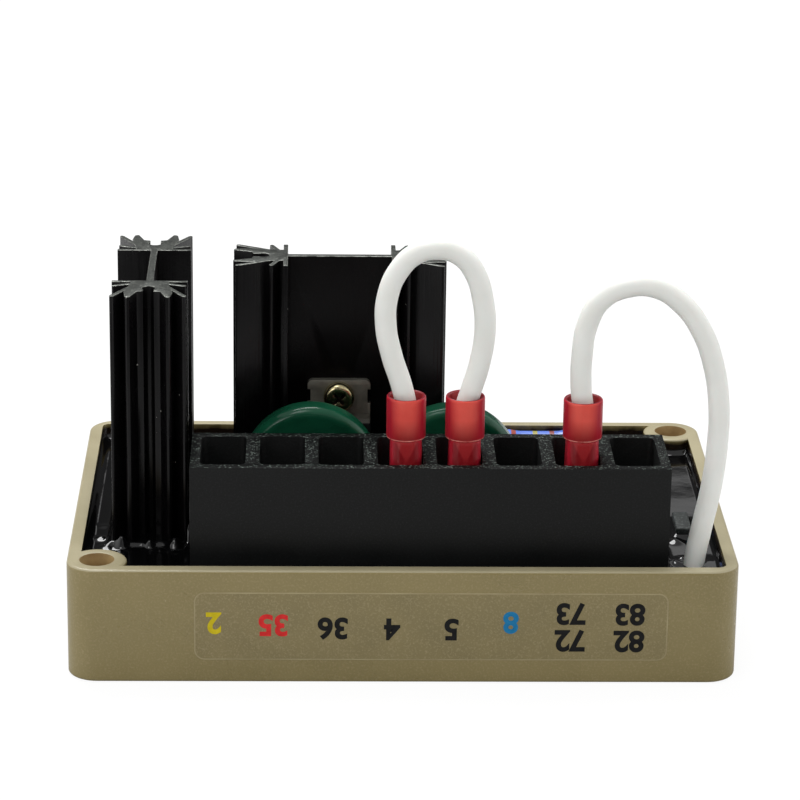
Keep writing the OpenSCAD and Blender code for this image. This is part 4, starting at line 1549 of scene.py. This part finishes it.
@dataclass
class Varistors:
    """Two green coated discs on tinned leads."""

    rim_share: float = 0.66
    drop_mm: float = 0.4
    crown_mm: float = 0.25
    face_share: float = 0.92
    ridge_mm: float = 0.45
    ridge_at_mm: float = 3.75
    ridge_width_mm: float = 0.8
    ridge_top_mm: float = 4.0
    sides: int = 128
    rings: int = 96

    def build(self) -> None:
        """Makes both discs."""
        for side in ("left", "right"):
            disc = self.disc(f"{side}_varistor", f"{side}_coated_disc")
            dress(disc, GREEN_COAT, [f"{side}_varistor"])
        paint_node("varistor_leads", TINNED)

    def disc(self, node: str, name: str) -> Piece:
        """Shapes a sphere into a disc with a round rim and a ridge over each lead.

        Args:
            node: The CAD node that gives the disc's place and size.
            name: The piece's name.

        Returns:
            The disc.
        """
        low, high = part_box(node)
        at, size = (low + high) / 2 - Vector((0.0, 0.0, self.drop_mm * MM)), high - low
        radius, half = size.x / 2, size.y / 2
        rim = self.rim_share * half
        flat = radius - rim
        bent = flat + math.pi / 2 * rim
        disc = start(
            bpy.ops.mesh.primitive_uv_sphere_add, name, segments=self.sides, ring_count=self.rings,
            radius=1.0,
        )
        for point in disc.data.vertices:
            polar = math.acos(max(-1.0, min(1.0, point.co.z))) / math.pi
            turn = math.atan2(point.co.y, point.co.x)
            run = min(polar, 1.0 - polar) * 2 * (bent + half - rim)
            if run < flat:
                out, up = run, half
            elif run < bent:
                bend = (run - flat) / rim
                out, up = flat + rim * math.sin(bend), half - rim * (1 - math.cos(bend))
            else:
                out, up = radius, half - rim - (run - bent)
            side = 1.0 if polar < 0.5 else -1.0
            x, z = out * math.cos(turn), out * math.sin(turn)
            up -= self.ridge_drop(x / MM, z / MM, out / radius) * MM
            point.co = at + Vector((x, -side * up, z))
        clean(disc)
        smooth(disc, 80.0)
        return disc

    def ridge_drop(self, x: float, z: float, out: float) -> float:
        """Gives how far the face lies under its crown, less over the two leads.

        Args:
            x: The place across the disc in millimetres.
            z: The place up the disc in millimetres.
            out: The way out from the middle, as a share of the radius.

        Returns:
            The drop in millimetres.
        """
        face = max(0.0, 1.0 - (out / self.face_share) ** 6)
        ridge = sum(math.exp(-((x - s * self.ridge_at_mm) / self.ridge_width_mm) ** 2) for s in (-1, 1))
        low = 1 / (1 + math.exp(z - self.ridge_top_mm))
        return face * (self.ridge_mm * (1.0 - min(1.0, ridge * low)) - self.crown_mm * (1 - out))


@dataclass
class SmallParts:
    """The banded resistor, the block capacitor and the two trimmers."""

    bead_mm: float = 2.3
    waist_mm: float = 2.05
    bead_at: float = 0.74
    bead_width: float = 0.16
    round_from: float = 0.82
    round_power: float = 2.4
    ring_spread: float = 0.8
    sides: int = 48
    rings: int = 72
    block_edge_mm: float = 0.28
    case_edge_mm: float = 0.2
    rotor_edge_mm: float = 0.12

    def build(self) -> None:
        """Makes the resistor and dresses the rest."""
        dress(self.resistor(), BLUE_CERAMIC, ["banded_resistor"])
        block = softened("block_capacitor", "film_capacitor", self.block_edge_mm)
        dress(block, CAPACITOR_CASE, ["block_capacitor"])
        for name in ("voltage", "stability"):
            case = softened(f"{name}_trimmer_body", f"{name}_trimmer_case", self.case_edge_mm)
            dress(case, BLUE_MOULDING, [f"{name}_trimmer_body"])
            rotor = softened(f"{name}_trimmer_rotor", f"{name}_trimmer_disc", self.rotor_edge_mm)
            dress(rotor, ROTOR_WHITE, [f"{name}_trimmer_rotor"], f"{name}_rotor")
        for node in ("resistor_leads", "capacitor_leads", "trimmer_pins"):
            paint_node(node, TINNED)
        paint_node("circuit_board", LAMINATE)

    def resistor(self) -> Piece:
        """Shapes a sphere into a body with a round bead at each end and a waist between.

        Returns:
            The resistor's body.
        """
        low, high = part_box("banded_resistor")
        at, half = (low + high) / 2, (high - low).x / 2
        body = start(
            bpy.ops.mesh.primitive_uv_sphere_add, "resistor_body", segments=self.sides,
            ring_count=self.rings, radius=1.0,
        )
        for point in body.data.vertices:
            turn = math.atan2(point.co.y, point.co.x)
            out = min(1.0, abs(point.co.z)) ** self.ring_spread
            bead = math.exp(-(((out - self.bead_at) / self.bead_width) ** 2))
            past = max(0.0, (out - self.round_from) / (1 - self.round_from))
            round_off = math.sqrt(max(0.0, 1 - past**self.round_power))
            radius = (self.waist_mm + (self.bead_mm - self.waist_mm) * bead) * round_off * MM
            along = math.copysign(out, point.co.z) * half
            point.co = at + Vector((along, radius * math.cos(turn), radius * math.sin(turn)))
        clean(body)
        smooth(body, 70.0)
        return body


@dataclass
class Connectors:
    """Three push-on connectors: a receptacle of tinned sheet in a sleeve of red nylon."""

    count: int = 3
    arc_points: int = 16
    round_r_mm: float = 2.95
    mouth_r_mm: float = 2.45
    bore_r_mm: float = 1.7
    flat_mm: Place = (2.35, 4.7, 1.6)
    pocket_mm: Place = (1.85, 4.2, 1.1)
    step_mm: float = 15.9
    barrel_end_mm: float = 18.2
    barrel_start_mm: float = 12.2
    taller_mm: Place = (0.35, 0.35, -0.05)
    metal_edge_mm: float = 0.08
    # By section: the step gets the painted highlight; the top rim, the foot and the inside get painted
    # shade.
    finishes: tuple[Finish, ...] = (RED_NYLON, NYLON_STEP_HIGHLIGHT, INNER_NYLON_SHADE, NYLON_RIM_SHADE)
    zone: dict[int, int] = field(default_factory=lambda: {0: 2, 7: 1, 8: 1, 12: 3, 13: 3})

    def build(self) -> None:
        """Makes the sleeves and dresses the receptacles."""
        for number, taller in zip(range(1, self.count + 1), self.taller_mm):
            sleeve = self.sleeve(f"connector_sleeve_{number}", f"nylon_sleeve_{number}", taller)
            dress(sleeve, RED_NYLON, [f"connector_sleeve_{number}"])
            node = f"receptacle_{number}"
            metal = softened(node, f"tinned_receptacle_{number}", self.metal_edge_mm, segments=2)
            dress(metal, TINNED, [node])

    def sections(self, height: float) -> list[Section]:
        """Lists the sleeve's sections from its foot up outside and down inside.

        Args:
            height: The sleeve's height in millimetres.

        Returns:
            For each section its height, its half sizes along X and Y and its corner radius.
        """
        wide, deep, corner = self.flat_mm
        outer, mouth, bore = self.round_r_mm, self.mouth_r_mm, self.bore_r_mm
        step, end, begin = self.step_mm, self.barrel_end_mm, self.barrel_start_mm

        def tube(at: float, radius: float) -> Section:
            """Gives a round section."""
            return at, radius, radius, radius

        flat = [
            (0.0, wide - 0.2, deep - 0.2, corner), (0.1, wide - 0.05, deep - 0.05, corner),
            (0.3, wide, deep, corner), (step - 6.2, wide, deep, corner),
            (step - 5.4, wide, deep - 0.12, corner), (step - 0.6, wide, 3.05, corner),
            (step - 0.06, wide + 0.03, 2.86, 1.9),
        ]
        barrel = [
            tube(step - 0.02, outer - 0.14), tube(step + 0.05, outer - 0.03), tube(step + 0.22, outer),
            tube(height - 0.5, outer), tube(height - 0.18, outer - 0.03),
            tube(height - 0.03, outer - 0.13), tube(height, outer - 0.25),
        ]
        inside = [
            tube(height - 0.06, mouth + 0.1), tube(height - 0.25, mouth), tube(end + 0.5, mouth - 0.1),
            tube(end + 0.1, mouth - 0.3), tube(end - 0.1, bore), tube(begin + 0.1, bore),
            (begin - 0.2, *self.pocket_mm), (0.0, *self.pocket_mm),
        ]
        return flat + barrel + inside

    def ring(self, section: Section, at: Vector) -> list[Vector]:
        """Draws a section as four arcs joined by straight runs.

        Args:
            section: The section.
            at: The middle of the sleeve's foot.

        Returns:
            The section's points.
        """
        height, wide, deep, corner = section
        points = []
        for quarter, (sx, sy) in enumerate(((1, 1), (-1, 1), (-1, -1), (1, -1))):
            for step in range(self.arc_points):
                angle = QUARTER * (quarter + step / (self.arc_points - 1))
                x = sx * (wide - corner) + corner * math.cos(angle)
                y = sy * (deep - corner) + corner * math.sin(angle)
                points.append(at + Vector((x, y, height)) * MM)
        return points

    def sleeve(self, node: str, name: str, taller_mm: float) -> Piece:
        """Shapes a ring of tube into a sleeve through its sections.

        Args:
            node: The CAD node that gives the sleeve's place and size.
            name: The piece's name.
            taller_mm: How far the sleeve stands over the node.

        Returns:
            The sleeve.
        """
        low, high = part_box(node)
        foot = Vector(((low.x + high.x) / 2, (low.y + high.y) / 2, low.z))
        rings = [self.ring(s, foot) for s in self.sections((high.z - low.z) / MM + taller_mm)]
        sleeve = start(
            bpy.ops.mesh.primitive_torus_add, name, major_segments=4 * self.arc_points,
            minor_segments=len(rings),
        )
        for index, point in enumerate(sleeve.data.vertices):
            around, along = divmod(index, len(rings))
            point.co = rings[along][around]

        def zone_of(face: Face) -> int:
            """Gives the number of a face's finish, by the lowest of its sections in the list."""
            lowest = min(i % len(rings) for i in face.vertices)
            return self.zone.get(lowest, 2 if lowest > max(self.zone) else 0)

        paint_faces(sleeve, self.finishes, zone_of)
        clean(sleeve)
        smooth(sleeve, 45.0)
        return sleeve


@dataclass
class Leads:
    """The white jumper and the white lead that picks the frequency."""

    diameter_mm: float = 3.2
    steps: int = 10
    jumper_mm: Route = (
        (0.4, -20.2, 36.6), (0.4, -20.2, 38.6), (-0.3, -20.2, 42), (-1.9, -20.2, 47),
        (-2.8, -20.2, 51.5), (-2.6, -20.2, 56.1), (-1, -20.2, 60.1), (1.6, -20.2, 62.7),
        (4.7, -20.2, 63.4), (7.8, -20.2, 62.6), (10.2, -20.2, 59.8), (11.5, -20.2, 55.6),
        (11.9, -20.2, 51), (11.2, -20.2, 45.8), (10, -20.2, 41.5), (9.2, -20.2, 38.6),
        (9.2, -20.2, 36.6),
    )
    lead_mm: Route = (
        (43.9, -24.5, 5), (43.9, -24.5, 15.8), (44.8, -23.8, 20.7), (46.2, -22.9, 27.5),
        (46.9, -22.3, 34), (46.9, -22, 40), (45.8, -21.6, 46.5), (43.9, -21.3, 51.4),
        (40.8, -21, 55.5), (37, -20.7, 57.8), (32.8, -20.5, 57.8), (29.2, -20.3, 55.9),
        (27.1, -20.2, 52), (26.4, -20.2, 47), (26.4, -20.2, 42), (26.8, -20.2, 38.6),
        (26.8, -20.2, 36.6),
    )

    def build(self) -> None:
        jumper = self.wire("white_jumper", self.jumper_mm, "jumper_wire")
        lead = self.wire("white_frequency_lead", self.lead_mm, "frequency_lead")

    @staticmethod
    def length(route: Route) -> float:
        """Gives a route's length in metres."""
        points = [Vector(p) * MM for p in route]
        return sum((b - a).length for a, b in zip(points, points[1:]))

    def wire(self, name: str, route: Route, node: str) -> Piece:
        """Draws a round wire as one smooth curve.

        Args:
            name: The piece's name.
            route: The points along its middle line.
            node: The CAD node that it replaces.

        Returns:
            The wire.
        """
        data = bpy.data.curves.new(name, "CURVE")
        data.dimensions = "3D"
        data.bevel_depth = self.diameter_mm / 2 * MM
        data.bevel_resolution = data.resolution_u = self.steps
        data.use_fill_caps = True
        spline = data.splines.new("BEZIER")
        spline.bezier_points.add(len(route) - 1)
        for point, at in zip(spline.bezier_points, route):
            point.co = Vector(at) * MM
            point.handle_left_type = point.handle_right_type = "AUTO"
        wire = bpy.data.objects.new(name, data)
        bpy.context.scene.collection.objects.link(wire)
        return dress(wire, WHITE_PVC, [node])


def main() -> None:
    """Builds the studio and every sub-assembly, in order."""
    logging.basicConfig(level=logging.INFO, format="%(name)s: %(message)s")
    for part in (
        Studio(), Connectors(), Leads(), Tray(), TerminalBlock(), HeatSinks(), PowerDevices(),
        Varistors(), SmallParts(), Resin(),
    ):
        part.build()


if __name__ == "__main__":
    main()
